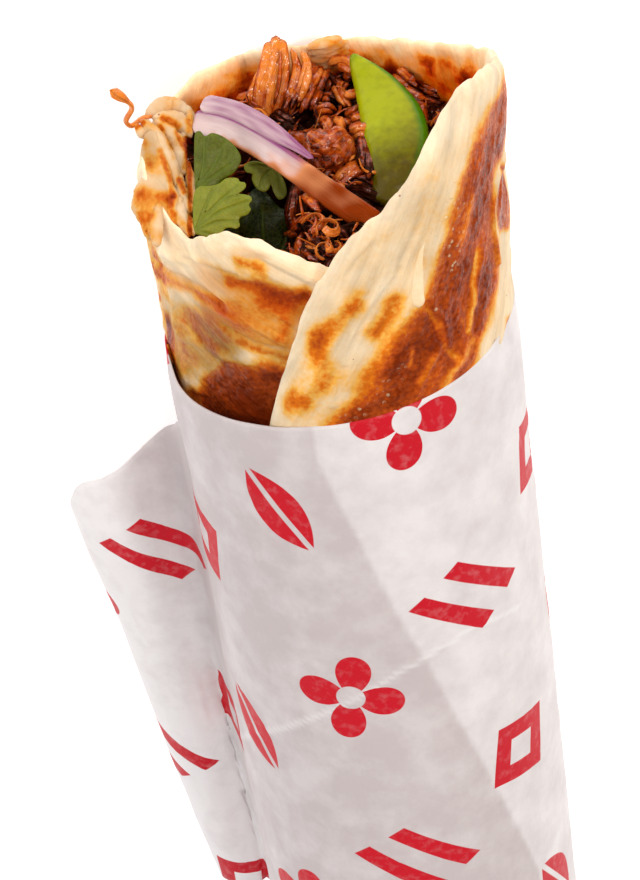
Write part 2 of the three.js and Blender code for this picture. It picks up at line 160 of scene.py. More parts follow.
def unit(vector):
    """The vector at length 1."""
    return np.asarray(vector, float) / np.linalg.norm(vector)


TOWARD = np.array((0.0, math.cos(PHOTO_TILT), math.sin(PHOTO_TILT)))
MOUTHWARD = np.array((0.0, 0.0, 1.0))
LEVEL_UP = unit(MOUTHWARD - TOWARD * TOWARD[2])
LEVEL_RIGHT = np.array((1.0, 0.0, 0.0))
RIGHT = LEVEL_RIGHT * math.cos(PHOTO_TURN) + LEVEL_UP * math.sin(PHOTO_TURN)
UP = -LEVEL_RIGHT * math.sin(PHOTO_TURN) + LEVEL_UP * math.cos(PHOTO_TURN)
CAMERA_PLACE = (
    TOWARD * PHOTO_DISTANCE
    - RIGHT * (RIM_CENTRE_PIXEL[0] - PHOTO_WIDE / 2) / PHOTO_FOCAL * PHOTO_DISTANCE
    - UP * (PHOTO_TALL / 2 - RIM_CENTRE_PIXEL[1]) / PHOTO_FOCAL * PHOTO_DISTANCE
)


def sight(pixel):
    """The line of sight through a pixel of the photograph."""
    right = (pixel[0] - PHOTO_WIDE / 2) / PHOTO_FOCAL
    up = (PHOTO_TALL / 2 - pixel[1]) / PHOTO_FOCAL
    return RIGHT * right + UP * up - TOWARD


def seen_on_roll(pixel, radius):
    """(angle, along) where a pixel's line of sight meets a cylinder round the axis."""
    heading = sight(pixel)
    a = heading[0] ** 2 + heading[1] ** 2
    b = CAMERA_PLACE[0] * heading[0] + CAMERA_PLACE[1] * heading[1]
    c = CAMERA_PLACE[0] ** 2 + CAMERA_PLACE[1] ** 2 - radius**2
    reach = (-b - math.sqrt(max(b * b - a * c, 0))) / a
    across, rise, along = CAMERA_PLACE + heading * reach
    return math.degrees(math.atan2(across, rise)), along


def seen_on_plane(pixel, point, normal):
    """The place where a pixel's line of sight meets a plane."""
    heading = sight(pixel)
    return CAMERA_PLACE + heading * np.dot(point - CAMERA_PLACE, normal) / np.dot(heading, normal)


def pixels_of(places):
    """Where places of the drawing show in the photograph."""
    offset = np.atleast_2d(places) - CAMERA_PLACE
    depth = -(offset @ TOWARD)
    right = offset @ RIGHT / depth * PHOTO_FOCAL
    up = offset @ UP / depth * PHOTO_FOCAL
    return np.stack((PHOTO_WIDE / 2 + right, PHOTO_TALL / 2 - up), axis=-1)


def at_rise(pixel, rise):
    """The place at that height above the axis that a pixel shows."""
    return seen_on_plane(pixel, np.array((0.0, rise, 0.0)), np.array((0.0, 1.0, 0.0)))


def filling_level(across, rise):
    """How far the filling's open end stands past the paper's rim."""
    beside_onion = 1 - smooth(across, -9, -3.4)
    pocket = beside_onion * smooth(rise, -15, -4) * (1 - smooth(rise, 19, 24))
    lumps = np.sin(0.9 * across + 0.5 * rise) * np.cos(0.75 * rise - 0.35 * across)
    lumps = lumps + 0.5 * np.sin(1.7 * across - 1.1 * rise)
    return FILLING_LEVEL - FILLING_SLOPE * rise - POCKET_DEPTH * pocket + 0.9 * lumps


def seen_on_filling(pixel, lift=0.0):
    """The place where a pixel's line of sight comes to that height above the filling."""
    heading = sight(pixel)
    near, far = 380.0, 520.0
    for _ in range(40):
        middle = (near + far) / 2
        across, rise, along = CAMERA_PLACE + heading * middle
        if along > filling_level(across, rise) + lift:
            near = middle
        else:
            far = middle
    return CAMERA_PLACE + heading * near


# ---- Colours and sizes that a maker would change -----------------------------------------------
def linear(code):
    """An sRGB hex colour as linear red, green, blue and alpha."""
    channels = [int(code[k : k + 2], 16) / 255 for k in (1, 3, 5)]
    return tuple(c / 12.92 if c <= 0.04045 else ((c + 0.055) / 1.055) ** 2.4 for c in channels) + (1.0,)


def colour(name, code, description):
    return FloatVectorProperty(
        name=name, description=description, default=linear(code), size=4, subtype="COLOR", min=0, max=1
    )


def length(name, millimetres, description):
    return FloatProperty(
        name=name, description=description, default=millimetres * MM, subtype="DISTANCE", unit="LENGTH", min=0
    )


class RollSizes(bpy.types.PropertyGroup):
    bread_thickness: length("Bread thickness", 2.6, "Thickness of one layer of the flatbread")
    bread_blisters: length("Blister height", 0.34, "How far the fried blisters stand out of the bread")
    bread_streaks: length("Flake height", 0.22, "Height of the pulled, flaky streaks in the dough")
    paper_thickness: length("Paper thickness", 0.3, "Thickness of the wrapper's double sheet")
    paper_crinkle: length("Paper crinkle", 0.3, "Depth of the soft dents in the paper")
    shreds: IntProperty(name="Chicken shreds", description="Loose shreds on the filling", default=300, min=0)


class RollColours(bpy.types.PropertyGroup):
    dough: colour("Dough", "#EECEA2", "Cooked, unbrowned dough")
    dough_pale: colour("Pale dough", "#F3DDBC", "Dough that stayed pale and dry")
    dough_gold: colour("Golden dough", "#EFB04C", "Where the dough starts to fry")
    dough_orange: colour("Fried edge", "#DC7410", "The rim of a fried patch")
    dough_brown: colour("Fried brown", "#B44A12", "The middle of a fried patch")
    dough_burnt: colour("Dark brown", "#7A2808", "The darkest fried spots")
    sauce: colour("Sauce", "#F39A30", "Spiced oil that soaks into the bread")
    chicken_light: colour("Chicken, light", "#F08A34", "Fibres where the meat shows through the sauce")
    chicken: colour("Chicken", "#B6440A", "Sauced chicken")
    # chicken_dark also serves as painted shade deep between the shreds. chicken_hollow is painted shade: the
    # near-black of the hollows between the pieces.
    chicken_dark: colour("Chicken, dark", "#4E1202", "Deep sauce between the shreds")
    chicken_hollow: colour("Chicken, hollow", "#220702", "The depths between the pieces")
    onion_flesh: colour("Onion flesh", "#E4CDCB", "The cut face of the onion")
    onion_purple: colour("Onion skin", "#8E4878", "The purple skin side")
    onion_soaked: colour("Onion, soaked", "#D98C5A", "Onion that the sauce has just reached")
    onion_stain: colour("Onion stain", "#8E360A", "Onion soaked through with sauce")
    pepper_flesh: colour("Pepper flesh", "#A6AC02", "The pepper's cut flesh")
    pepper_skin: colour("Pepper skin", "#3A7A04", "The pepper's waxy skin")
    pepper_deep: colour("Pepper, low", "#584A06", "Flesh in the shade, wetted with sauce")
    leaf: colour("Coriander", "#828622", "The leaf's upper side")
    # leaf_deep is the darker green that darkening mixes in. leaf_shade is painted shade: the near-black of
    # the leaf in the hollow.
    leaf_deep: colour("Coriander, deep", "#4A5002", "The older, darker leaf")
    leaf_shade: colour("Coriander, hollow", "#16200A", "The leaf deep in the mouth")
    leaf_vein: colour("Leaf vein", "#5E701C", "Veins and stalk")
    paper: colour("Paper", "#EDE7E7", "White wrapping paper")
    # paper_double_and_shade also stands for painted shade: on the sheet beside the loose end, and on the
    # loose end near the roll.
    paper_double_and_shade: colour("Paper, double", "#C4B8B8", "Where a second layer lies behind the sheet")
    paper_print: colour("Print", "#C6081F", "The red of the printed shapes")
    floor: colour("Floor", "#FFFFFF", "The studio floor")


# ---- Making and bending meshes -----------------------------------------------------------------
# Vertices closer than this are one, in mm. Small, finely cut pieces use the second distance.
MERGE = 0.004
FINE_MERGE = 0.001


def deselect():
    bpy.ops.object.select_all(action="DESELECT")


def new_slab(name, columns, rows, walled):
    """A flat slab of unit size, cut into columns and rows, ready to be bent into shape. Without a
    wall it is a single skin."""
    deselect()
    bpy.ops.mesh.primitive_grid_add(x_subdivisions=columns, y_subdivisions=rows, size=1)
    slab = bpy.context.object
    slab.name = slab.data.name = name
    if not walled:
        return slab
    wall = slab.modifiers.new("wall", "SOLIDIFY")
    wall.thickness = 1
    wall.offset = 0
    bpy.ops.object.modifier_apply(modifier=wall.name)
    return slab


def vertex_places(piece):
    """A piece's vertices in the model's frame, in metres."""
    places = np.empty(len(piece.data.vertices) * 3)
    piece.data.vertices.foreach_get("co", places)
    return places.reshape(-1, 3)


def places_of(piece):
    """A finished piece's vertices as places of the drawing."""
    model = vertex_places(piece)
    rise = model[:, 2] / MM - AXIS_HEIGHT
    return solid_place((AXIS_X - model[:, 0]) / MM, rise, (RIM_Y - model[:, 1]) / MM)


def mark(piece, name, values):
    """Stores one number at each vertex, for the material to read."""
    attribute = piece.data.attributes.get(name) or piece.data.attributes.new(name, "FLOAT", "POINT")
    attribute.data.foreach_set("value", np.ascontiguousarray(values, dtype=np.float32))


def set_map(piece, spots):
    """Gives each vertex its place on the flat material, as the piece's UV map, in mm."""
    layer = piece.data.uv_layers.active or piece.data.uv_layers.new(name="UVMap")
    corners = np.empty(len(piece.data.loops), dtype=np.int32)
    piece.data.loops.foreach_get("vertex_index", corners)
    layer.data.foreach_set("uv", np.ascontiguousarray(spots[corners], dtype=np.float32).ravel())


def bend(piece, shape):
    """Bends a slab: shape takes shares along its columns and rows and the side (1 or -1), and gives
    places, spots on the flat material, and marks by name."""
    flat = vertex_places(piece)
    side = np.sign(flat[:, 2])
    places, spots, marks = shape(flat[:, 0] + 0.5, flat[:, 1] + 0.5, side)
    piece.data.vertices.foreach_set("co", to_model(places).ravel())
    set_map(piece, spots)
    for name, values in marks.items():
        mark(piece, name, values)
    piece.data.update()


def close_up(piece, distance):
    """Merges vertices that lie within that distance in mm, and turns every face outwards."""
    deselect()
    piece.select_set(True)
    bpy.context.view_layer.objects.active = piece
    bpy.ops.object.mode_set(mode="EDIT")
    bpy.ops.mesh.select_all(action="SELECT")
    if distance > 0:
        bpy.ops.mesh.remove_doubles(threshold=distance * MM)
    bpy.ops.mesh.normals_make_consistent(inside=False)
    bpy.ops.object.mode_set(mode="OBJECT")
    bpy.ops.object.shade_smooth()


def bent_slab(name, columns, rows, shape, merge=MERGE, walled=True):
    """A slab bent into shape, with its doubled vertices merged."""
    slab = new_slab(name, columns, rows, walled)
    bend(slab, shape)
    close_up(slab, merge)
    return slab


def finish_piece(piece, material, slot, *nodes):
    """Gives a piece its material, hangs it on the roll's body, and hides the imported solids it replaces."""
    piece.data.materials.clear()
    piece.data.materials.append(material)
    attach(piece, "root")
    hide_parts(*nodes)
    return piece


# ---- Strands: shreds, strips and folds ---------------------------------------------------------
def curve_through(points, steps):
    """A smooth curve through points, cut into equal steps: places and headings."""
    points = np.asarray(points, float)
    before = np.vstack((2 * points[0] - points[1], points, 2 * points[-1] - points[-2]))
    fine = []
    for k in range(len(points) - 1):
        p0, p1, p2, p3 = before[k : k + 4]
        for s in np.linspace(0, 1, 12, endpoint=False):
            fine.append(
                0.5
                * (
                    2 * p1
                    + (p2 - p0) * s
                    + (2 * p0 - 5 * p1 + 4 * p2 - p3) * s**2
                    + (3 * p1 - p0 - 3 * p2 + p3) * s**3
                )
            )
    fine = np.array(fine + [points[-1]])
    run = np.concatenate(([0], np.cumsum(np.linalg.norm(np.diff(fine, axis=0), axis=1))))
    stops = np.linspace(0, run[-1], steps + 1)
    places = np.stack([np.interp(stops, run, fine[:, k]) for k in range(3)], axis=-1)
    headings = np.gradient(places, axis=0)
    headings /= np.linalg.norm(headings, axis=1, keepdims=True)
    return places, headings, run[-1]


class Bundle:
    """Strands gathered into one mesh. Each strand's skin is drawn to a point at both ends."""

    def __init__(self):
        self.places = []
        self.faces = []
        self.spots = []
        self.tones = []

    def add(self, path, size, wide, steps=12, sides=8, tone=0.5, ridges=None, turn=0.0, edge=0.0):
        """path: points of the drawing. size(u): half width and half thickness. wide: which way the
        width lies, or None for across the picture. ridges(u, angle): what the skin is scaled by.
        turn: twist in degrees. edge: how much darker the strand's two edges are."""
        centres, headings, reach = curve_through(path, steps)
        shares = np.linspace(0, 1, steps + 1)
        first = len(self.places)
        wideway = None if wide is None else np.asarray(wide, float)
        around = 2 * math.pi * (np.arange(sides) + 0.5) / sides
        for k, u in enumerate(shares):
            heading = headings[k]
            if wide is None:
                broad = np.cross(heading, TOWARD)
            else:
                broad = wideway - heading * np.dot(wideway, heading)
            broad = broad / (np.linalg.norm(broad) + 1e-9)
            wideway = broad if turn == 0 else wideway
            thin = np.cross(heading, broad)
            twist = math.radians(turn) * u
            broad, thin = (
                broad * math.cos(twist) + thin * math.sin(twist),
                thin * math.cos(twist) - broad * math.sin(twist),
            )
            half_width, half_thickness = size(u)
            swell = np.ones(sides) if ridges is None else ridges(u, around)
            ring = centres[k] + (
                np.outer(np.cos(around) * swell * half_width, broad)
                + np.outer(np.sin(around) * swell * half_thickness, thin)
            )
            self.places.extend(ring)
            girth = max(half_width, half_thickness) * 4
            self.spots.extend([(u * reach, girth * side / sides) for side in range(sides)])
            level = tone(u) if callable(tone) else tone
            # Painted shade: each strand's two edges are darker by edge.
            self.tones.extend(level - edge * np.abs(np.cos(around)) ** 4)
        ends = len(self.places)
        half_first = size(0)[1]
        half_last = size(1)[1]
        self.places.append(centres[0] - headings[0] * half_first)
        self.places.append(centres[-1] + headings[-1] * half_last)
        self.spots.extend([(0, 0), (reach, 0)])
        self.tones.extend([self.tones[first], self.tones[ends - 1]])
        for side in range(sides):
            after = (side + 1) % sides
            self.faces.append((ends, first + after, first + side))
            last = first + steps * sides
            self.faces.append((ends + 1, last + side, last + after))
            for k in range(steps):
                a = first + k * sides
                b = a + sides
                self.faces.append((a + side, a + after, b + after, b + side))
        return self

    def make(self, name, tone_mark="tone", **other_marks):
        """The bundle as one object, faces outwards."""
        mesh = bpy.data.meshes.new(name)
        mesh.from_pydata(to_model(np.array(self.places)).tolist(), [], self.faces)
        mesh.update()
        piece = bpy.data.objects.new(name, mesh)
        bpy.context.scene.collection.objects.link(piece)
        mark(piece, tone_mark, np.array(self.tones))
        for other, value in other_marks.items():
            mark(piece, other, np.full(len(self.tones), value))
        set_map(piece, np.array(self.spots, float))
        close_up(piece, 0)
        return piece


# ---- Materials ---------------------------------------------------------------------------------
def new_material(name):
    """An empty material and its node tree."""
    material = bpy.data.materials.new(name)
    material.use_nodes = True
    material.node_tree.nodes.clear()
    return material, material.node_tree


def add(tree, kind, inputs=None, out=0, stops=None, **settings):
    """Adds a node with its settings, values and links, and gives one of its outputs."""
    made = tree.nodes.new("ShaderNode" + kind)
    for name, value in settings.items():
        setattr(made, name, value)
    for socket, value in (inputs or {}).items():
        if isinstance(value, bpy.types.NodeSocket):
            tree.links.new(value, made.inputs[socket])
        else:
            made.inputs[socket].default_value = value
    if stops:
        elements = made.color_ramp.elements
        while len(elements) < len(stops):
            elements.new(0.5)
        for element, (position, shade) in zip(elements, stops):
            element.position = position
            element.color = shade
    return made.outputs[out] if len(made.outputs) > 0 else made


def bread_material(colours):
    """Flaky flatbread, pan-fried in oil: matt pale dough with soft pulled streaks, and fried patches
    that go from gold to a glossy, blistered dark brown."""
    material, tree = new_material("Pan-fried flaky flatbread")
    place = add(tree, "TexCoord", out="Object")
    toast, gold, soak, pull, lengthwise, crosswise, bubbly = [
        add(tree, "Attribute", out="Fac", attribute_name=name)
        for name in ("toast", "gold", "soak", "pull", "lengthwise", "crosswise", "bubbly")
    ]
    # Browning breaks up at about 3 mm, and again at 0.8 mm.
    mottle = add(tree, "TexNoise", {"Vector": place, "Scale": 1 / (3.2 * MM), "Detail": 3.0})
    fleck = add(tree, "TexNoise", {"Vector": place, "Scale": 1 / (0.8 * MM), "Detail": 3.0})
    coarse = add(tree, "Math", {0: mottle, 1: 0.5}, operation="SUBTRACT")
    fine = add(tree, "Math", {0: fleck, 1: 0.5}, operation="SUBTRACT")
    uneven = add(tree, "Math", {0: coarse, 1: 0.24, 2: toast}, operation="MULTIPLY_ADD")
    speckled = add(
        tree, "MapRange", {"Value": toast, "From Min": 0.2, "From Max": 0.7, "To Min": 0.12, "To Max": 0.5}
    )
    fine_part = add(tree, "Math", {0: fine, 1: speckled}, operation="MULTIPLY")
    uneven = add(tree, "Math", {0: fine_part, 1: uneven}, operation="ADD", use_clamp=True)
    browned = add(
        tree,
        "ValToRGB",
        {"Fac": uneven},
        stops=[
            (0.0, colours.dough_pale),
            (0.18, colours.dough),
            (0.36, colours.dough_gold),
            (0.52, colours.dough_orange),
            (0.74, colours.dough_brown),
            (0.98, colours.dough_burnt),
        ],
    )
    # Pulled dough shows lighter and darker streaks where its flakes lie over each other, 2 mm wide
    # and finer.
    threads = add(tree, "CombineXYZ", {0: lengthwise, 1: crosswise})
    threads = add(tree, "Mapping", {"Vector": threads, "Scale": (0.13, 0.9, 1.0)})
    threads = add(tree, "TexNoise", {"Vector": threads, "Scale": 1.0, "Detail": 4.0, "Roughness": 0.55})
    thread = add(tree, "Math", {0: threads, 1: 0.5}, operation="SUBTRACT")
    # pull carries the pulled streaks, and also painted shade and painted light laid over them.
    streak = add(tree, "Math", {0: pull, 1: 0.5}, operation="SUBTRACT")
    streak = add(tree, "Math", {0: streak, 1: 0.45, 2: 1.0}, operation="MULTIPLY_ADD")
    streak = add(tree, "Math", {0: thread, 1: 0.42, 2: streak}, operation="MULTIPLY_ADD")
    clouds = add(tree, "TexNoise", {"Vector": place, "Scale": 1 / (7 * MM), "Detail": 2.0})
    clouds = add(
        tree, "MapRange", {"Value": clouds, "From Min": 0.3, "From Max": 0.7, "To Min": 0.9, "To Max": 1.06}
    )
    streak = add(tree, "Math", {0: streak, 1: clouds}, operation="MULTIPLY")
    browned = add(
        tree,
        "Mix",
        {0: 1.0, 6: browned, 7: add(tree, "CombineXYZ", {0: streak, 1: streak, 2: streak})},
        out=2,
        data_type="RGBA",
        blend_type="MULTIPLY",
    )
    browned = add(
        tree,
        "Mix",
        {0: gold, 6: browned, 7: colours.dough_gold},
        out=2,
        data_type="RGBA",
        blend_type="MULTIPLY",
    )
    soaked = add(tree, "Math", {0: coarse, 1: 0.35, 2: soak}, operation="MULTIPLY_ADD")
    soaked = add(tree, "MapRange", {"Value": soaked, "From Min": 0.1, "From Max": 0.9})
    browned = add(
        tree,
        "Mix",
        {0: soaked, 6: browned, 7: colours.sauce},
        out=2,
        data_type="RGBA",
        blend_type="MULTIPLY",
    )
    # Ground spice: dark specks about 0.35 mm wide, one in 7 mm or so.
    spread = add(tree, "TexVoronoi", {"Vector": place, "Scale": 1 / (5.5 * MM)}, out="Distance")
    specks = add(
        tree,
        "MapRange",
        {"Value": spread, "From Min": 0.02, "From Max": 0.04, "To Min": 0.75, "To Max": 0.0},
    )
    browned = add(tree, "Mix", {0: specks, 6: browned, 7: colours.dough_burnt}, out=2, data_type="RGBA")
    # Oil makes the fried patches glossy, and browner dough gives it a warmer gleam. The dough
    # stays matt.
    oil = add(tree, "Mix", {0: uneven, 6: linear("#FFFFFF"), 7: linear("#F0A060")}, out=2, data_type="RGBA")
    shine = add(
        tree,
        "MapRange",
        {"Value": uneven, "From Min": 0.25, "From Max": 0.7, "To Min": 0.48, "To Max": 0.24},
    )
    # Pinhead blisters 1.2 mm apart. Their tops are painted pale: painted glints.
    pinheads = add(tree, "TexVoronoi", {"Vector": place, "Scale": 1 / (1.2 * MM)}, out="Distance")
    pinheads = add(tree, "MapRange", {"Value": pinheads, "From Min": 0.36, "From Max": 0.2})
    pinheads = add(tree, "Math", {0: pinheads, 1: bubbly}, operation="MULTIPLY")
    patchy = add(tree, "MapRange", {"Value": fleck, "From Min": 0.44, "From Max": 0.56})
    pinheads = add(tree, "Math", {0: pinheads, 1: patchy}, operation="MULTIPLY")
    painted_glints = add(tree, "Math", {0: pinheads, 1: 0.75}, operation="MULTIPLY")
    browned = add(tree, "Mix", {0: painted_glints, 6: browned, 7: linear("#FBDDAE")}, out=2, data_type="RGBA")
    bubbles = add(
        tree,
        "TexVoronoi",
        {"Vector": place, "Scale": 1 / (1.1 * MM), "Smoothness": 0.4},
        out="Distance",
        feature="SMOOTH_F1",
    )
    fried = add(tree, "MapRange", {"Value": uneven, "From Min": 0.4, "From Max": 0.8})
    bubbles = add(tree, "Math", {0: bubbles, 1: fried}, operation="MULTIPLY")
    pores = add(tree, "TexNoise", {"Vector": place, "Scale": 1 / (0.5 * MM), "Detail": 2.0})
    height = add(tree, "Math", {0: bubbles, 1: -0.55}, operation="MULTIPLY")
    height = add(tree, "Math", {0: pores, 1: 0.12, 2: height}, operation="MULTIPLY_ADD")
    height = add(tree, "Math", {0: mottle, 1: 0.3, 2: height}, operation="MULTIPLY_ADD")
    height = add(tree, "Math", {0: threads, 1: 0.7, 2: height}, operation="MULTIPLY_ADD")
    height = add(tree, "Math", {0: pinheads, 1: 0.5, 2: height}, operation="MULTIPLY_ADD")
    skin = add(tree, "Bump", {"Height": height, "Strength": 0.7, "Distance": 0.6 * MM})
    surface = add(
        tree,
        "BsdfPrincipled",
        {
            "Base Color": browned,
            "Roughness": shine,
            "IOR": 1.45,
            "Specular IOR Level": 0.18,
            "Specular Tint": oil,
            "Subsurface Weight": 0.12,
            "Subsurface Radius": (1.0, 0.55, 0.3),
            "Subsurface Scale": 1.2 * MM,
            "Normal": skin,
        },
    )
    add(tree, "OutputMaterial", {"Surface": surface})
    return material


def chicken_material(colours):
    """Cooked chicken breast pulled along its fibres and turned in an oily red sauce: fibrous, glossy,
    lighter where the meat shows, dark where the sauce gathers, and painted dark as shade deep between the
    pieces."""
    material, tree = new_material("Pulled chicken in spiced sauce")
    place = add(tree, "TexCoord", out="Object")
    flat = add(tree, "UVMap", uv_map="UVMap")
    tone = add(tree, "Attribute", out="Fac", attribute_name="tone")
    # Muscle fibres about 0.3 mm thick run along each shred.
    lengthwise = add(tree, "Mapping", {"Vector": flat, "Scale": (0.16, 3.2, 1.0)})
    fibres = add(tree, "TexNoise", {"Vector": lengthwise, "Scale": 1.0, "Detail": 3.0, "Distortion": 0.3})
    blotch = add(tree, "TexNoise", {"Vector": place, "Scale": 1 / (1.8 * MM), "Detail": 3.0})
    fibres = add(tree, "MapRange", {"Value": fibres, "From Min": 0.33, "From Max": 0.67})
    blotch = add(tree, "MapRange", {"Value": blotch, "From Min": 0.33, "From Max": 0.67})
    shade = add(tree, "Math", {0: fibres, 1: 0.34, 2: tone}, operation="MULTIPLY_ADD")
    shade = add(tree, "Math", {0: blotch, 1: 0.34, 2: shade}, operation="MULTIPLY_ADD")
    shade = add(tree, "Math", {0: shade, 1: 0.42}, operation="SUBTRACT", use_clamp=True)
    meat = add(
        tree,
        "ValToRGB",
        {"Fac": shade},
        stops=[
            (0.0, colours.chicken_hollow),
            (0.16, colours.chicken_dark),
            (0.46, colours.chicken),
            (0.86, colours.chicken_light),
        ],
    )
    height = add(tree, "Math", {0: blotch, 1: 0.5, 2: fibres}, operation="MULTIPLY_ADD")
    grooves = add(tree, "Bump", {"Height": height, "Strength": 0.8, "Distance": 0.18 * MM})
    # Sauce and oil pool in drops about 1 mm wide, and gleam. Their skin wrinkles at 0.9 mm.
    drops = add(tree, "TexNoise", {"Vector": place, "Scale": 1 / (1.1 * MM), "Detail": 1.0})
    wet = add(tree, "MapRange", {"Value": drops, "From Min": 0.42, "From Max": 0.52})
    lit = add(tree, "MapRange", {"Value": shade, "From Min": 0.05, "From Max": 0.3})
    wet = add(tree, "Math", {0: wet, 1: lit}, operation="MULTIPLY")
    wrinkles = add(tree, "TexNoise", {"Vector": place, "Scale": 1 / (0.9 * MM), "Detail": 1.0})
    wrinkled = add(tree, "Bump", {"Height": wrinkles, "Strength": 0.8, "Distance": 0.45 * MM})
    surface = add(
        tree,
        "BsdfPrincipled",
        {
            "Base Color": meat,
            "Roughness": 0.3,
            "IOR": 1.42,
            "Specular IOR Level": 0.14,
            "Specular Tint": linear("#FFB480"),
            "Subsurface Weight": 0.06,
            "Subsurface Radius": (1.0, 0.35, 0.15),
            "Subsurface Scale": 0.8 * MM,
            "Coat Weight": wet,
            "Coat Roughness": 0.09,
            "Coat IOR": 1.6,
            "Coat Normal": wrinkled,
            "Normal": grooves,
        },
    )
    add(tree, "OutputMaterial", {"Surface": surface})
    return material


def onion_material(colours):
    """Raw red onion, sliced: wet, translucent flesh with fine lengthwise lines, purple at the skin,
    and stained by the sauce where it lies in it."""
    material, tree = new_material("Sliced red onion")
    flat = add(tree, "UVMap", uv_map="UVMap")
    purple = add(tree, "Attribute", out="Fac", attribute_name="purple")
    stain = add(tree, "Attribute", out="Fac", attribute_name="stain")
    # Cell lines about 0.5 mm apart run along the ring.
    lengthwise = add(tree, "Mapping", {"Vector": flat, "Scale": (0.25, 3.4, 1.0)})
    lines = add(tree, "TexNoise", {"Vector": lengthwise, "Scale": 1.0, "Detail": 3.0})
    broken = add(tree, "Math", {0: lines, 1: 0.5}, operation="SUBTRACT")
    tint = add(tree, "Math", {0: broken, 1: 0.3, 2: purple}, operation="MULTIPLY_ADD", use_clamp=True)
    flesh = add(
        tree, "Mix", {0: tint, 6: colours.onion_flesh, 7: colours.onion_purple}, out=2, data_type="RGBA"
    )
    wet = add(tree, "Math", {0: broken, 1: 0.14, 2: stain}, operation="MULTIPLY_ADD", use_clamp=True)
    reached = add(tree, "Math", {0: wet, 1: 2.0}, operation="MULTIPLY", use_clamp=True)
    through = add(tree, "Math", {0: wet, 1: 2.0, 2: -1.0}, operation="MULTIPLY_ADD", use_clamp=True)
    flesh = add(tree, "Mix", {0: reached, 6: flesh, 7: colours.onion_soaked}, out=2, data_type="RGBA")
    flesh = add(tree, "Mix", {0: through, 6: flesh, 7: colours.onion_stain}, out=2, data_type="RGBA")
    gleam = add(tree, "Mix", {0: wet, 6: linear("#FFFFFF"), 7: colours.onion_stain}, out=2, data_type="RGBA")
    ribs = add(tree, "Bump", {"Height": lines, "Strength": 0.22, "Distance": 0.25 * MM})
    surface = add(
        tree,
        "BsdfPrincipled",
        {
            "Base Color": flesh,
            "Roughness": 0.14,
            "IOR": 1.36,
            "Specular IOR Level": 0.42,
            "Specular Tint": gleam,
            "Subsurface Weight": 0.12,
            "Subsurface Radius": (1.0, 0.7, 0.8),
            "Subsurface Scale": 1.5 * MM,
            "Normal": ribs,
        },
    )
    add(tree, "OutputMaterial", {"Surface": surface})
    return material


def pepper_material(colours):
    """Raw green pepper, sliced: waxy dark skin on one edge, wet lime flesh, darker low down from sauce and
    painted shade.
    """
    material, tree = new_material("Sliced green pepper")
    place = add(tree, "TexCoord", out="Object")
    skin = add(tree, "Attribute", out="Fac", attribute_name="skin")
    low = add(tree, "Attribute", out="Fac", attribute_name="low")
    cells = add(tree, "TexNoise", {"Vector": place, "Scale": 1 / (1.3 * MM), "Detail": 3.0})
    uneven = add(tree, "Math", {0: cells, 1: 0.5}, operation="SUBTRACT")
    deeper = add(tree, "Math", {0: uneven, 1: 0.6, 2: low}, operation="MULTIPLY_ADD", use_clamp=True)
    flesh = add(
        tree, "Mix", {0: deeper, 6: colours.pepper_flesh, 7: colours.pepper_deep}, out=2, data_type="RGBA"
    )
    waxy = add(tree, "Math", {0: uneven, 1: 0.35, 2: skin}, operation="MULTIPLY_ADD", use_clamp=True)
    body = add(tree, "Mix", {0: waxy, 6: flesh, 7: colours.pepper_skin}, out=2, data_type="RGBA")
    pitted = add(tree, "Bump", {"Height": cells, "Strength": 0.25, "Distance": 0.3 * MM})
    surface = add(
        tree,
        "BsdfPrincipled",
        {
            "Base Color": body,
            "Roughness": 0.18,
            "IOR": 1.38,
            "Specular IOR Level": 0.25,
            "Subsurface Weight": 0.25,
            "Subsurface Radius": (0.6, 1.0, 0.15),
            "Subsurface Scale": 1.4 * MM,
            "Normal": pitted,
        },
    )
    add(tree, "OutputMaterial", {"Surface": surface})
    return material


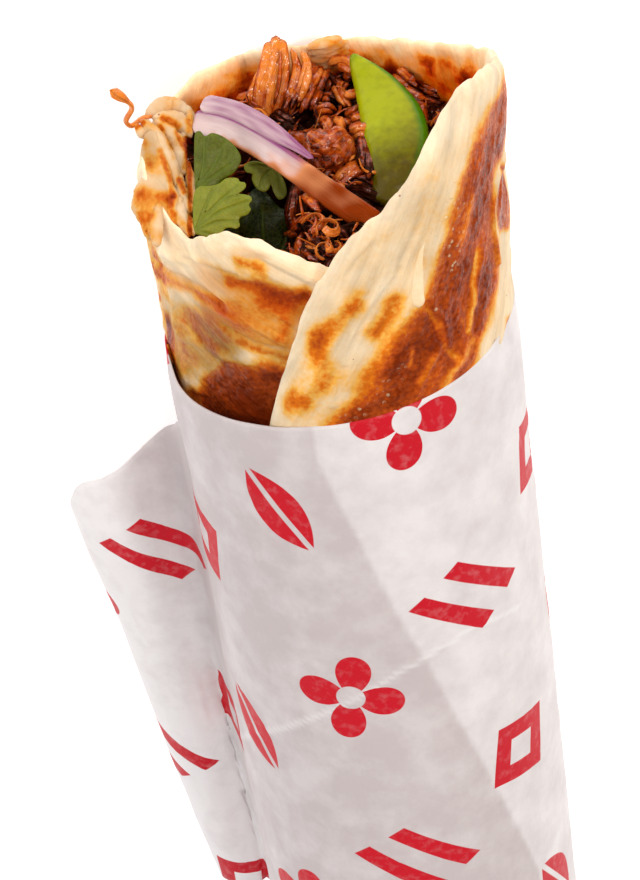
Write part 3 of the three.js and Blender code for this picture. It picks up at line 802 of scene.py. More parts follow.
def leaf_material(colours):
    """Fresh coriander leaf: thin, satin, with pale fine veins and a slightly blistered blade."""
    material, tree = new_material("Fresh coriander leaf")
    place = add(tree, "TexCoord", out="Object")
    vein = add(tree, "Attribute", out="Fac", attribute_name="vein")
    age = add(tree, "Attribute", out="Fac", attribute_name="age")
    cells = add(tree, "TexNoise", {"Vector": place, "Scale": 1 / (1.6 * MM), "Detail": 4.0})
    uneven = add(tree, "Math", {0: cells, 1: 0.5}, operation="SUBTRACT")
    # darkening turns the blade darker green, and past 1.3 to near black: painted shade, used for the leaf in
    # the hollow.
    darkened = add(tree, "Math", {0: uneven, 1: 0.7, 2: age}, operation="MULTIPLY_ADD")
    deep_shade = add(tree, "Math", {0: darkened, 1: 1.3}, operation="SUBTRACT", use_clamp=True)
    blade = add(tree, "Mix", {0: darkened, 6: colours.leaf, 7: colours.leaf_deep}, out=2, data_type="RGBA")
    blade = add(tree, "Mix", {0: deep_shade, 6: blade, 7: colours.leaf_shade}, out=2, data_type="RGBA")
    veined = add(tree, "Math", {0: vein, 1: 0.4}, operation="MULTIPLY", use_clamp=True)
    blade = add(tree, "Mix", {0: veined, 6: blade, 7: colours.leaf_vein}, out=2, data_type="RGBA")
    # Between the veins runs a net about 0.8 mm wide.
    net = add(
        tree,
        "TexVoronoi",
        {"Vector": place, "Scale": 1 / (0.85 * MM)},
        out="Distance",
        feature="DISTANCE_TO_EDGE",
    )
    net = add(
        tree, "MapRange", {"Value": net, "From Min": 0.0, "From Max": 0.16, "To Min": 1.0, "To Max": 0.0}
    )
    netted = add(tree, "Math", {0: net, 1: 0.22}, operation="MULTIPLY")
    blade = add(tree, "Mix", {0: netted, 6: blade, 7: colours.leaf_vein}, out=2, data_type="RGBA")
    height = add(tree, "Math", {0: vein, 1: -0.5, 2: cells}, operation="MULTIPLY_ADD")
    height = add(tree, "Math", {0: net, 1: -0.25, 2: height}, operation="MULTIPLY_ADD")
    puckered = add(tree, "Bump", {"Height": height, "Strength": 0.4, "Distance": 0.3 * MM})
    surface = add(
        tree,
        "BsdfPrincipled",
        {
            "Base Color": blade,
            "Roughness": 0.38,
            "IOR": 1.4,
            "Specular IOR Level": 0.35,
            "Subsurface Weight": 0.2,
            "Subsurface Radius": (0.5, 1.0, 0.2),
            "Subsurface Scale": 0.8 * MM,
            "Normal": puckered,
        },
    )
    add(tree, "OutputMaterial", {"Surface": surface})
    return material


def paper_material(colours):
    """Thin greaseproof paper, printed in one red: faintly cloudy, soft sheen, fine crumples. The
    print is rows of simple shapes: four-petalled flowers, leaves, bars and diamonds."""
    material, tree = new_material("Printed greaseproof paper")
    place = add(tree, "TexCoord", out="Object")
    flat = add(tree, "UVMap", uv_map="UVMap")
    double = add(tree, "Attribute", out="Fac", attribute_name="double")
    crease = add(tree, "Attribute", out="Fac", attribute_name="crease")
    clouds = add(tree, "TexNoise", {"Vector": place, "Scale": 1 / (9 * MM), "Detail": 6.0, "Roughness": 0.62})
    pulp = add(tree, "TexNoise", {"Vector": place, "Scale": 1 / (1.6 * MM), "Detail": 3.0})
    cloudy = add(
        tree,
        "MapRange",
        {"Value": clouds, "From Min": 0.36, "From Max": 0.66, "To Min": -0.1, "To Max": 0.32},
    )
    # The double mark carries the layer behind the sheet, and painted shade beside and on the loose end.
    behind = add(tree, "Math", {0: double, 1: cloudy}, operation="ADD", use_clamp=True)
    sheet = add(tree, "Mix", {0: behind, 6: colours.paper, 7: colours.paper_double_and_shade}, out=2, data_type="RGBA")
    sheet = add(tree, "Mix", {0: crease, 6: sheet, 7: linear("#FBF9F8")}, out=2, data_type="RGBA")
    # Rows climb at 34 degrees, 38 mm apart, with a shape every 29 mm. Each row is shifted by 12.5 mm.
    row_apart, shape_apart, row_shift = 38.0, 29.0, 12.5
    leaning = {"Rotation": (0, 0, math.radians(-34)), "Location": (9.0, 25.0, 0)}
    rows = add(tree, "Mapping", {"Vector": flat, **leaning})
    across = add(tree, "SeparateXYZ", {0: rows}, out=0)
    upward = add(tree, "SeparateXYZ", {0: rows}, out=1)
    line = add(tree, "Math", {0: upward, 1: row_apart}, operation="DIVIDE")
    line_number = add(tree, "Math", {0: line}, operation="FLOOR")
    shifted = add(tree, "Math", {0: line_number, 1: row_shift, 2: across}, operation="MULTIPLY_ADD")
    step = add(tree, "Math", {0: shifted, 1: shape_apart}, operation="DIVIDE")
    step_number = add(tree, "Math", {0: step}, operation="FLOOR")
    kind = add(tree, "Math", {0: line_number, 1: 2.0, 2: step_number}, operation="MULTIPLY_ADD")
    kind = add(tree, "Math", {0: kind, 1: 4.0}, operation="FLOORED_MODULO")
    # x and y run from the middle of each shape, in mm.
    x = add(tree, "Math", {0: step}, operation="FRACT")
    x = add(tree, "Math", {0: x, 1: 0.5}, operation="SUBTRACT")
    x = add(tree, "Math", {0: x, 1: shape_apart}, operation="MULTIPLY")
    y = add(tree, "Math", {0: line}, operation="FRACT")
    y = add(tree, "Math", {0: y, 1: 0.5}, operation="SUBTRACT")
    y = add(tree, "Math", {0: y, 1: row_apart}, operation="MULTIPLY")
    aside = add(tree, "Math", {0: x}, operation="ABSOLUTE")
    off_row = add(tree, "Math", {0: y}, operation="ABSOLUTE")
    far = add(tree, "Math", {0: x, 1: x}, operation="MULTIPLY")
    far = add(tree, "Math", {0: y, 1: y, 2: far}, operation="MULTIPLY_ADD")
    far = add(tree, "Math", {0: far}, operation="SQRT")
    bearing = add(tree, "Math", {0: y, 1: x}, operation="ARCTAN2")
    # A flower: four round petals, 9.6 mm long, round an open middle.
    petal = add(tree, "Math", {0: bearing, 1: 2.0}, operation="MULTIPLY")
    petal = add(tree, "Math", {0: petal}, operation="SINE")
    petal = add(tree, "Math", {0: petal}, operation="ABSOLUTE")
    petal = add(tree, "Math", {0: petal, 1: 0.6}, operation="POWER")
    petal = add(tree, "Math", {0: petal, 1: 9.6}, operation="MULTIPLY")
    petal = add(tree, "Math", {0: petal, 1: far}, operation="SUBTRACT")
    open_middle = add(tree, "Math", {0: far, 1: 2.6}, operation="SUBTRACT")
    flower = add(tree, "Math", {0: petal, 1: open_middle}, operation="MINIMUM")
    # Two leaning bars, 16 mm long.
    bar = add(tree, "Math", {0: y, 1: 0.35, 2: x}, operation="MULTIPLY_ADD")
    bar = add(tree, "Math", {0: bar}, operation="ABSOLUTE")
    bar = add(tree, "Math", {0: bar, 1: 4.2}, operation="SUBTRACT")
    bar = add(tree, "Math", {0: bar}, operation="ABSOLUTE")
    bar = add(tree, "Math", {0: 1.9, 1: bar}, operation="SUBTRACT")
    bar_end = add(tree, "Math", {0: 8.0, 1: off_row}, operation="SUBTRACT")
    bars = add(tree, "Math", {0: bar, 1: bar_end}, operation="MINIMUM")
    # A diamond with a pale heart.
    diamond = add(tree, "Math", {0: aside, 1: off_row}, operation="ADD")
    diamond = add(tree, "Math", {0: diamond, 1: 6.6}, operation="SUBTRACT")
    diamond = add(tree, "Math", {0: diamond}, operation="ABSOLUTE")
    diamond = add(tree, "Math", {0: 2.6, 1: diamond}, operation="SUBTRACT")
    # A pointed leaf, 19 mm long, with its rib left open.
    belly = add(tree, "Math", {0: y, 1: 9.5}, operation="DIVIDE")
    belly = add(tree, "Math", {0: belly, 1: belly}, operation="MULTIPLY")
    belly = add(tree, "Math", {0: belly, 1: -4.6, 2: 4.6}, operation="MULTIPLY_ADD")
    rib = add(tree, "Math", {0: aside, 1: 0.55}, operation="SUBTRACT")
    leaf = add(tree, "Math", {0: belly, 1: aside}, operation="SUBTRACT")
    leaf = add(tree, "Math", {0: leaf, 1: rib}, operation="MINIMUM")
    shape = flower
    for number, motif in ((1.0, bars), (2.0, diamond), (3.0, leaf)):
        chosen = add(tree, "Math", {0: kind, 1: number, 2: 0.2}, operation="COMPARE")
        shape = add(tree, "Mix", {0: chosen, 2: shape, 3: motif}, data_type="FLOAT")
    inked = add(tree, "MapRange", {"Value": shape, "From Min": -0.08, "From Max": 0.08})
    worn = add(
        tree, "MapRange", {"Value": pulp, "From Min": 0.25, "From Max": 0.5, "To Min": 0.88, "To Max": 1.0}
    )
    inked = add(tree, "Math", {0: inked, 1: worn}, operation="MULTIPLY")
    printed = add(tree, "Mix", {0: inked, 6: sheet, 7: colours.paper_print}, out=2, data_type="RGBA")
    crumple = add(tree, "Math", {0: pulp, 1: 0.12, 2: clouds}, operation="MULTIPLY_ADD")
    soft = add(tree, "Bump", {"Height": crumple, "Strength": 0.3, "Distance": 0.8 * MM})
    surface = add(
        tree,
        "BsdfPrincipled",
        {
            "Base Color": printed,
            "Roughness": 0.48,
            "IOR": 1.45,
            "Specular IOR Level": 0.25,
            "Subsurface Weight": 0.06,
            "Subsurface Radius": (1.0, 0.85, 0.8),
            "Subsurface Scale": 1.5 * MM,
            "Normal": soft,
        },
    )
    add(tree, "OutputMaterial", {"Surface": surface})
    return material


def floor_material(colours):
    """A sheet of matt white background board on a light table, which thins the shadows on it."""
    material, tree = new_material("Matt white board")
    place = add(tree, "TexCoord", out="Object")
    faint = add(tree, "TexNoise", {"Vector": place, "Scale": 4.0, "Detail": 2.0})
    tone = add(tree, "MapRange", {"Value": faint, "To Min": 0.99, "To Max": 1.0})
    board = add(
        tree,
        "Mix",
        {0: 1.0, 6: colours.floor, 7: add(tree, "CombineXYZ", {0: tone, 1: tone, 2: tone})},
        out=2,
        data_type="RGBA",
        blend_type="MULTIPLY",
    )
    surface = add(
        tree,
        "BsdfPrincipled",
        {
            "Base Color": board,
            "Roughness": 0.9,
            "Specular IOR Level": 0.1,
            "Emission Color": colours.floor,
            "Emission Strength": 0.33,
        },
    )
    add(tree, "OutputMaterial", {"Surface": surface})
    return material


# ---- The flatbread -----------------------------------------------------------------------------
# The sheet's angles. It starts at the flap's slanting edge, the flap runs to the right side, and from
# the left side on the sheet is the inner layer, which ends under the flap.
SHEET_START = -52
FLAP_END = 112
INNER_START = 262
SHEET_END = 430
# The skins of the two layers where the photograph shows them, in mm from the axis.
FLAP_SKIN = 29.5
INNER_SKIN = 26.7

bread_rim = profile([
    (-52, -95), (-46, -45), (-34.5, -10), (-20.3, 11), (-1.8, 29.3), (22.3, 38.4), (45, 48.2),
    (64, 49.4), (80, 47.6), (97, 44.5), (143, 39.3), (210, 39), (255, 36), (275, 33.2),
    (297, 28.6), (325, 32.8), (356, 27.6), (380, 20), (430, 6),
])
bread_foot = profile([(-52, -101), (-46, -122), (-30, -138), (0, -143), (30, -143)])

# Marks seen on the bread, as pixels of the photograph. The flap is the outer layer. The inner layer
# shows on the left, and its angles run on past one turn.
FRIED_ON_FLAP = [
    # amount, softness in mm, outline
    (0.7, 2.3, [(496, 78), (484, 104), (476, 133), (469, 156), (460, 182), (453, 209), (444, 240),
                 (438, 262), (431, 284), (427, 302), (415, 314), (402, 328), (386, 348), (371, 371),
                 (358, 393), (341, 417), (330, 426), (420, 425), (468, 392), (471, 367), (482, 336),
                 (491, 307), (497, 276), (496, 247), (492, 231), (491, 180), (493, 164), (496, 156),
                 (502, 129), (501, 84)]),
    (0.66, 0.8, [(495, 164), (503, 172), (508, 205), (505, 229), (498, 232), (494, 200)]),
    (0.5, 0.9, [(503, 318), (517, 312), (522, 335), (512, 350), (500, 348)]),
]
DARK_ON_FLAP = [
    # amount, half width in mm, line
    (0.1, 1.5, [(486, 140), (484, 172)]),
    (0.12, 1.7, [(479, 200), (474, 240), (468, 262)]),
    (0.14, 2.0, [(462, 268), (455, 305), (444, 338)]),
    (0.12, 2.0, [(432, 345), (402, 355), (395, 372)]),
    (0.12, 1.2, [(503, 175), (505, 205)]),
    (0.12, 1.6, [(488, 270), (480, 320)]),
    (0.12, 1.8, [(418, 372), (392, 398)]),
    (0.12, 2.0, [(372, 412), (350, 424)]),
    (-0.42, 0.6, [(479, 248), (476, 272), (473, 300), (470, 330)]),
    (-0.36, 0.9, [(474, 338), (462, 356), (448, 378), (436, 402)]),
    (-0.3, 0.45, [(430, 308), (437, 328), (443, 346), (455, 357)]),
    (-0.24, 0.7, [(440, 345), (430, 364), (420, 380)]),
    (-0.3, 0.3, [(412, 352), (409, 366)]),
    (-0.22, 0.8, [(470, 196), (466, 220), (462, 240)]),
    (-0.16, 1.4, [(404, 330), (384, 362), (366, 392)]),
    (-0.14, 1.2, [(488, 95), (478, 140)]),
]
GOLD_ON_FLAP = [
    (0.4, 1.7, [(361, 292), (354, 306)]),
    (0.3, 1.9, [(350, 312), (334, 326), (318, 334)]),
    (0.3, 1.6, [(314, 340), (313, 350)]),
    (0.2, 1.8, [(330, 326), (324, 344)]),
    (0.26, 1.9, [(316, 364), (327, 378)]),
    (0.26, 1.7, [(318, 388), (304, 398)]),
    (0.26, 1.6, [(302, 402), (290, 409)]),
    (0.42, 1.4, [(394, 298), (384, 316), (374, 334)]),
    (0.12, 2.6, [(304, 352), (298, 378), (290, 398)]),
    (0.18, 2.4, [(402, 330), (380, 352), (362, 380)]),
    (0.14, 2.8, [(345, 395), (320, 415)]),
    (0.1, 3.0, [(440, 190), (424, 250), (408, 296)]),
    (0.08, 2.2, [(384, 236), (356, 268)]),
]
# Where fat has bubbled up in pinhead blisters, their tops painted pale as glints: amount, half width in mm,
# line.
BLISTERS_AND_GLINTS_ON_FLAP = [
    (1.0, 1.3, [(452, 190), (446, 216), (440, 244), (433, 270)]),
    (0.7, 1.6, [(462, 205), (457, 235), (452, 268)]),
    (0.6, 1.2, [(432, 296), (438, 312)]),
    (0.5, 1.6, [(400, 372), (372, 404), (352, 420)]),
    (0.4, 1.2, [(470, 100), (478, 150)]),
]
FRIED_INSIDE = [
    (0.84, 2.4, [(206, 372), (226, 362), (262, 366), (300, 372), (300, 440), (262, 450), (226, 438),
                 (206, 418), (202, 392)]),
    (0.3, 2.4, [(172, 314), (190, 308), (214, 318), (232, 338), (236, 356), (215, 366), (196, 380),
                (180, 372), (172, 345)]),
    (0.3, 2.6, [(216, 296), (262, 292), (306, 300), (294, 352), (262, 350), (232, 334)]),
    (0.5, 1.8, [(182, 385), (206, 384), (212, 420), (190, 408)]),
]
DARK_INSIDE = [
    (0.42, 1.3, [(165, 268), (184, 283), (204, 296), (221, 307)]),
    (0.44, 1.15, [(238, 263), (262, 272)]),
    (0.5, 1.4, [(231, 279), (258, 286), (306, 298)]),
    (0.3, 1.5, [(266, 300), (306, 305)]),
    (0.2, 2.2, [(178, 300), (204, 312), (226, 330)]),
    (0.3, 0.9, [(238, 343), (262, 353), (286, 360)]),
    (0.6, 1.9, [(158, 322), (170, 342), (182, 366), (190, 380)]),
    (0.25, 1.4, [(150, 245), (160, 268)]),
    (0.2, 2.0, [(240, 400), (256, 432)]),
    (0.16, 1.2, [(196, 330), (214, 350)]),
    (0.2, 0.6, [(202, 260), (220, 268)]),
    (0.18, 1.1, [(286, 322), (280, 345)]),
]
GOLD_INSIDE = [
    (0.75, 1.8, [(205, 312), (222, 318), (234, 322)]),
    (0.45, 1.6, [(166, 288), (176, 300)]),
    (0.55, 2.8, [(235, 314), (288, 320)]),
    (0.4, 2.4, [(250, 335), (288, 345)]),
    (0.3, 2.2, [(182, 396), (205, 402)]),
    (0.3, 1.2, [(236, 252), (262, 258)]),
    (0.6, 2.6, [(208, 276), (250, 292), (304, 308)]),
    (0.35, 2.6, [(172, 270), (200, 290), (226, 312)]),
]
# Painted shade on the inner layer, a grey-brown patch: amount, softness in mm, outline.
SHADE_ON_INNER_LAYER = [
    (0.75, 3.2, [(164, 308), (186, 302), (210, 318), (240, 344), (236, 362), (204, 374), (182, 370),
                 (168, 342)]),
]
# Pulled ridges and creases: height in mm, half width in mm, line.
FLAP_RIDGES = [
    (-0.5, 0.55, [(400, 270), (384, 292), (370, 312), (358, 334), (350, 350), (342, 374), (338, 400)]),
    (0.4, 0.8, [(394, 276), (378, 298), (362, 320), (354, 338), (345, 362)]),
    (0.35, 0.7, [(352, 334), (348, 352), (342, 380), (334, 404)]),
    (-0.45, 0.45, [(428, 303), (436, 326), (441, 345), (454, 357)]),
    (0.4, 0.7, [(434, 302), (443, 326), (448, 344)]),
    (0.45, 0.6, [(440, 344), (428, 368), (416, 392)]),
    (-0.5, 0.4, [(479, 248), (475, 272), (470, 302), (467, 332)]),
    (0.35, 0.6, [(483, 250), (480, 272), (474, 304)]),
    (0.5, 0.6, [(498, 150), (494, 178), (491, 206), (494, 238), (497, 262)]),
    (-0.5, 0.5, [(502, 152), (498, 180), (497, 206)]),
    (0.3, 0.9, [(424, 150), (404, 184), (390, 214)]),
    (-0.25, 0.7, [(432, 196), (418, 232), (402, 262)]),
    (0.25, 0.9, [(440, 182), (428, 214), (424, 246)]),
    (-0.3, 0.5, [(372, 246), (356, 262), (348, 276)]),
    (0.25, 0.8, [(512, 250), (508, 290), (498, 340)]),
    (-0.3, 0.5, [(507, 240), (502, 290), (492, 345)]),
]
INSIDE_RIDGES = [
    (-0.45, 0.6, [(160, 258), (184, 276), (206, 290), (224, 304)]),
    (0.4, 0.9, [(168, 248), (200, 262), (232, 272), (262, 280)]),
    (-0.4, 0.5, [(186, 258), (212, 268), (236, 274)]),
    (0.35, 0.9, [(196, 300), (230, 316), (262, 330), (284, 342)]),
    (-0.35, 0.6, [(222, 326), (250, 342), (284, 352)]),
    (0.4, 1.0, [(186, 330), (214, 352), (250, 362)]),
    (-0.4, 0.6, [(258, 262), (284, 276), (306, 288)]),
    (0.5, 1.2, [(246, 250), (270, 250)]),
    (-0.35, 0.7, [(176, 372), (196, 392), (212, 400)]),
]


def on_flat_dough(pixels, inside):
    """Pixels on the bread as spots on its unrolled skin: round it and along it, in mm."""
    spots = []
    for pixel in pixels:
        angle, along = seen_on_roll(pixel, INNER_SKIN if inside else FLAP_SKIN)
        spots.append((math.radians(angle + (360 if inside else 0)) * BREAD_OUTER_LAYER, along))
    return np.array(spots)


def distance_to_line(spots, line):
    """How far each spot lies from a line of points."""
    nearest = np.full(len(spots), 1e9)
    for start, end in zip(line[:-1], line[1:]):
        run = end - start
        share = np.clip((spots - start) @ run / max(run @ run, 1e-9), 0, 1)
        nearest = np.minimum(nearest, np.linalg.norm(spots - start - share[:, None] * run, axis=1))
    return nearest


def depth_in_outline(spots, outline):
    """How far each spot lies inside an outline. It is negative outside."""
    closed = np.vstack((outline, outline[:1]))
    inside = np.zeros(len(spots), bool)
    for (x0, y0), (x1, y1) in zip(closed[:-1], closed[1:]):
        crosses = (y0 > spots[:, 1]) != (y1 > spots[:, 1])
        reach = (x1 - x0) * (spots[:, 1] - y0) / (y1 - y0 if y1 != y0 else 1e-9) + x0
        inside ^= crosses & (spots[:, 0] < reach)
    return np.where(inside, 1, -1) * distance_to_line(spots, closed)


def painted(spots, outlines, lines, inside, fade=1.5):
    """The sum of marked areas and strokes at each spot. Strokes fade out at fade half widths."""
    total = np.zeros(len(spots))
    for amount, soft, pixels in outlines:
        depth = depth_in_outline(spots, on_flat_dough(pixels, inside))
        total = np.maximum(total, amount * smooth(depth, -soft, soft))
    for amount, half_width, pixels in lines:
        away = distance_to_line(spots, on_flat_dough(pixels, inside))
        total = total + amount * (1 - smooth(away, (1.75 - fade) * half_width, fade * half_width))
    return total


def bread_radius(angle):
    """The middle of the sheet: the inner layer lies closer to the axis than the outer."""
    return BREAD_OUTER_LAYER + (BREAD_INNER_LAYER - BREAD_OUTER_LAYER) * smooth(angle, INNER_START, 305)


def bread_flare(angle, along):
    """The flap's upper corner peels away from the roll."""
    near_corner = smooth(angle, 52, 88) * (1 - smooth(angle, 96, 122))
    return near_corner * (0.9 * smooth(along, 4, 24) + 1.4 * smooth(along, 26, 46))


def bread_shape(sizes):
    """The dough sheet from its flap's edge, once round, and on inside under the flap."""
    half = sizes.bread_thickness / MM / 2
    under_paper, before_edge = 0.17, 0.93

    def shape(u, v, side):
        # More columns go to the parts that show.
        angle = np.interp(
            u,
            (0, 0.2, 0.47, 0.6, 0.71, 0.93, 1),
            (SHEET_START, -20, 60, FLAP_END, INNER_START, 368, SHEET_END),
        )
        rim = bread_rim(angle)
        slope = (bread_rim(angle + 0.5) - bread_rim(angle - 0.5)) / (math.radians(1) * BREAD_OUTER_LAYER)
        across_edge = np.sqrt(1 + slope**2)
        # The edge is ragged, in bites of about 2 mm and finer ones.
        wobble = 0.45 * grain(solid_place(angle * 0.5, 0, 0), 2.4, 3)
        wobble = wobble + 0.12 * grain(solid_place(angle * 0.5, 4, 0), 1.1, 5)
        foot = bread_foot(angle)
        edge_zone = half * across_edge
        below_edge = rim - edge_zone
        low = np.maximum(foot + 0.3 * (below_edge - foot), np.minimum(-5, below_edge - 6))
        share_low = np.clip(v / under_paper, 0, 1)
        share_mid = np.clip((v - under_paper) / (before_edge - under_paper), 0, 1)
        share_edge = np.clip((v - before_edge) / (1 - before_edge), 0, 1)
        turn = share_edge * math.pi / 2
        along = foot + (low - foot) * share_low + (rim - edge_zone - low) * share_mid
        along = along + edge_zone * np.sin(turn)
        from_edge = (rim - along) / across_edge
        near_edge = 1 - smooth(from_edge, 0.5, 6)
        along = along + wobble * smooth(angle, -40, -20) * np.minimum(across_edge, 2) * near_edge
        beside_edge = 1 - smooth(angle, SHEET_START, -44)
        taper = 1 - 0.42 * np.maximum(near_edge, beside_edge)
        thick = half * taper * np.maximum(np.cos(turn), 0.03)
        around = np.radians(angle) * BREAD_OUTER_LAYER
        spots = np.stack((around, along), axis=-1)
        outside = side > 0
        # The marks' outlines wander by about a millimetre.
        drift = solid_place(around, along, 0)
        warp = 0.55 * np.stack((grain(drift, 3.8, 1), grain(drift, 3.8, 7)), axis=-1)
        wandering = spots + warp
        seen = outside & (along > -12)
        flap = seen & (angle < FLAP_END)
        inner = seen & (angle > INNER_START)
        toast = np.zeros(len(u))
        gold = np.zeros(len(u))
        relief = np.zeros(len(u))
        toast[flap] = painted(wandering[flap], FRIED_ON_FLAP, DARK_ON_FLAP, False, 1.75)
        toast[flap] += painted(wandering[flap], [], GOLD_ON_FLAP, False, 2.1)
        # Painted glints go on the blisters' tops along these lines.
        bubbly = np.zeros(len(u))
        bubbly[flap] = painted(wandering[flap], [], BLISTERS_AND_GLINTS_ON_FLAP, False)
        toast[inner] = painted(wandering[inner], FRIED_INSIDE, DARK_INSIDE, True, 2.0)
        gold[inner] = painted(wandering[inner], [], GOLD_INSIDE, True)
        # Painted shade: a grey-brown patch on the inner layer.
        painted_shade_inside = np.zeros(len(u))
        painted_shade_inside[inner] = painted(wandering[inner], SHADE_ON_INNER_LAYER, [], True)
        relief[flap] = painted(spots[flap] + 0.3 * warp[flap], [], FLAP_RIDGES, False)
        relief[inner] = painted(spots[inner] + 0.3 * warp[inner], [], INSIDE_RIDGES, True)
        # Round the back, patches of the same kind are scattered by seed.
        back = outside & (angle >= 100) & (angle <= 288)
        blend = smooth(angle, 98, FLAP_END) * (1 - smooth(angle, 268, 286))
        leaning = solid_place(around * 0.6 + along * 0.25, along * 0.5 - around * 0.2, 0)
        scattered = smooth(grain(leaning, 9, 11) + 0.35 * grain(drift, 3.2, 12), 0.18, 0.75)
        streaks = smooth(grain(solid_place(around * 0.35 + along * 0.1, along, 0), 3.4, 13), 0.45, 0.9)
        toast[back] += (blend * np.maximum(scattered * 0.95, 0.5 * streaks))[back]
        # Pulled streaks run along the flap's edge, and nearly round the roll on the inner layer.
        lean = np.where(angle < 200, 0.5, -0.42)
        length_way = along * np.sqrt(1 - lean**2) + around * lean
        cross_way = around * np.sqrt(1 - lean**2) - along * lean
        on_inner = smooth(angle, 250, 290)
        length_way = length_way * (1 - on_inner) + (around * 0.86 - along * 0.5) * on_inner
        cross_way = cross_way * (1 - on_inner) + (along * 0.86 + around * 0.5) * on_inner
        pulled = grain(solid_place(length_way / 9, cross_way, 2), 2.2, 21)
        humps = grain(solid_place(length_way / 1.8, cross_way, 0), 7.5, 24)
        # The bread swells against the paper's rim.
        wrapped = np.mod(angle + 180, 360) - 180
        over_rim = along - paper_rim(wrapped)
        shown = np.where(angle < 285, smooth(over_rim, 0.3, 3.5), smooth(along, -6, 2))
        snug = 0.3 * (1 - smooth(over_rim, 1.0, 6.0)) * smooth(over_rim, -7, -3) * outside * (angle < 285)
        streak_height = sizes.bread_streaks / MM
        relief = relief + (0.34 * humps + streak_height * pulled) * shown
        domes = blisters(solid_place(around, along, 0), 2.6, 31)
        fried = smooth(toast, 0.45, 0.8)
        relief = relief + sizes.bread_blisters / MM * fried * (domes - 0.3) * shown
        relief = relief + 0.3 * np.exp(-((from_edge - 2.2) / 1.1) ** 2) * shown
        relief = relief * smooth(from_edge, 0.0, 0.8)
        inner_face = ~outside
        soft_inside = 0.25 * grain(drift, 4.5, 41) + 0.12 * grain(drift, 1.6, 42)
        relief = np.where(inner_face, soft_inside * smooth(from_edge, 0.4, 2), relief)
        # Under the flap the two layers stay apart.
        under_flap = smooth(angle, 352, 366)
        relief = relief * (1 - np.where(outside, under_flap, 0))
        relief = np.where(inner_face & (angle < 75), np.maximum(relief, -0.05), relief)
        # Painted shade: the inner layer is painted darker below its rim, and the flap a little darker all
        # over.
        shade_below_rim = 0.45 * smooth(angle, 290, 310) * smooth(rim - along, 2, 8) + 0.12 * (angle < FLAP_END)
        pull = np.clip(0.5 + 0.24 * pulled, 0, 1) - painted_shade_inside - shade_below_rim * outside
        # The filling's oil soaks into the inner face, up to a pale rim. The flap's corner stays dry.
        below_rim = rim - along
        soaking = below_rim + 1.2 * grain(drift, 3, 45)
        soak = 0.12 + 0.3 * smooth(soaking, 0.6, 3.6) + 0.5 * smooth(soaking, 3, 7)
        soak = np.where(inner_face, np.clip(soak, 0, 1) * smooth(angle, 84, 104), 0)
        wall_toast = 0.14 + 0.54 * smooth(grain(drift, 3.6, 46) + 0.5 * grain(drift, 1.5, 47), -0.2, 0.7)
        on_wall = inner_face * smooth(angle, 84, 104)
        toast = np.where(inner_face, wall_toast * smooth(soaking, 1.2, 5.4) * on_wall, toast)
        toast = toast + 0.1 + 0.08 * grain(drift, 6, 48) + 0.14 * on_wall * smooth(soaking, 0.4, 4.0)
        toast = toast * smooth(from_edge, -0.4, 2.4)
        # Oil tints the wall yellow up to its rim. Painted light: near its rim the wall is also painted
        # lighter.
        gold = gold + on_wall * (0.42 * smooth(soaking, -0.6, 1.6) - 0.2 * smooth(soaking, 3, 6))
        pull = pull + 0.7 * on_wall * (1 - smooth(soaking, 3, 6))
        radius = bread_radius(angle) + side * (thick + relief) + snug + bread_flare(angle, along)
        inward = BREAD_OUTER_LAYER + 1.3 - radius
        # Where the roll lies flat, the paper keeps the bread 0.75 mm above the table.
        places = on_roll(angle, radius, along, 0.75 + np.maximum(inward, 0))
        marks = {
            "toast": np.clip(toast, 0, 1.15),
            "gold": np.clip(gold, 0, 1),
            "soak": soak,
            "pull": pull,
            "bubbly": np.clip(bubbly, 0, 1),
            "lengthwise": length_way,
            "crosswise": cross_way,
        }
        return places, spots, marks

    return shape


# ---- The paper ---------------------------------------------------------------------------------
paper_rim = profile([
    (-180, 0), (-120, 0.6), (-84, 1.2), (-74, -1.9), (-35, -0.9), (7, 0.4), (39, 1.7), (72, 2.8), (180, 0),
])
PLEATS = 8
# The edge of the layer behind, which shows through, and the crease across it, as pixels.
LAYER_BEHIND = [
    (318, 462), (333, 492), (372, 566), (412, 640), (430, 668), (460, 722), (490, 775), (540, 870),
]
PAPER_CREASE = [
    (232, 738), (262, 732), (300, 722), (350, 702), (400, 672), (440, 650), (475, 628), (520, 606),
]
# The loose end runs along the roll from its foot to its top, and its section is cut into steps.
CURL_STEPS = 60
CURL_FOOT = 1 - PAPER_LENGTH
CURL_TOP = -17
# That section, as shares of its reach: away from the roll, and up.
CURL_SECTION = [
    (0.09, 0.86), (0.28, 0.81), (0.57, 0.83), (0.86, 0.67), (1, 0.42), (0.89, 0.13), (0.57, 0.015),
]
curl_edge = profile([
    (0, CURL_TOP), (0.1, -20.5), (0.2, -24), (0.335, -29.5), (0.43, -32), (0.55, -35.5),
    (0.68, -44), (1, -62),
])


def paper_dents(spots, seed, depth):
    """Soft dents, and the fine sharp creases between them."""
    drift = solid_place(spots[:, 0], spots[:, 1] * 0.7, seed)
    broad = grain(drift, 15, 61 + seed)
    fold = 1 - np.abs(grain(drift, 11, 62 + seed)) * 5
    small = 1 - np.abs(grain(drift, 5.5, 63 + seed)) * 6
    return depth * (0.75 * broad + 0.45 * np.clip(fold, 0, 1) + 0.2 * np.clip(small, 0, 1))


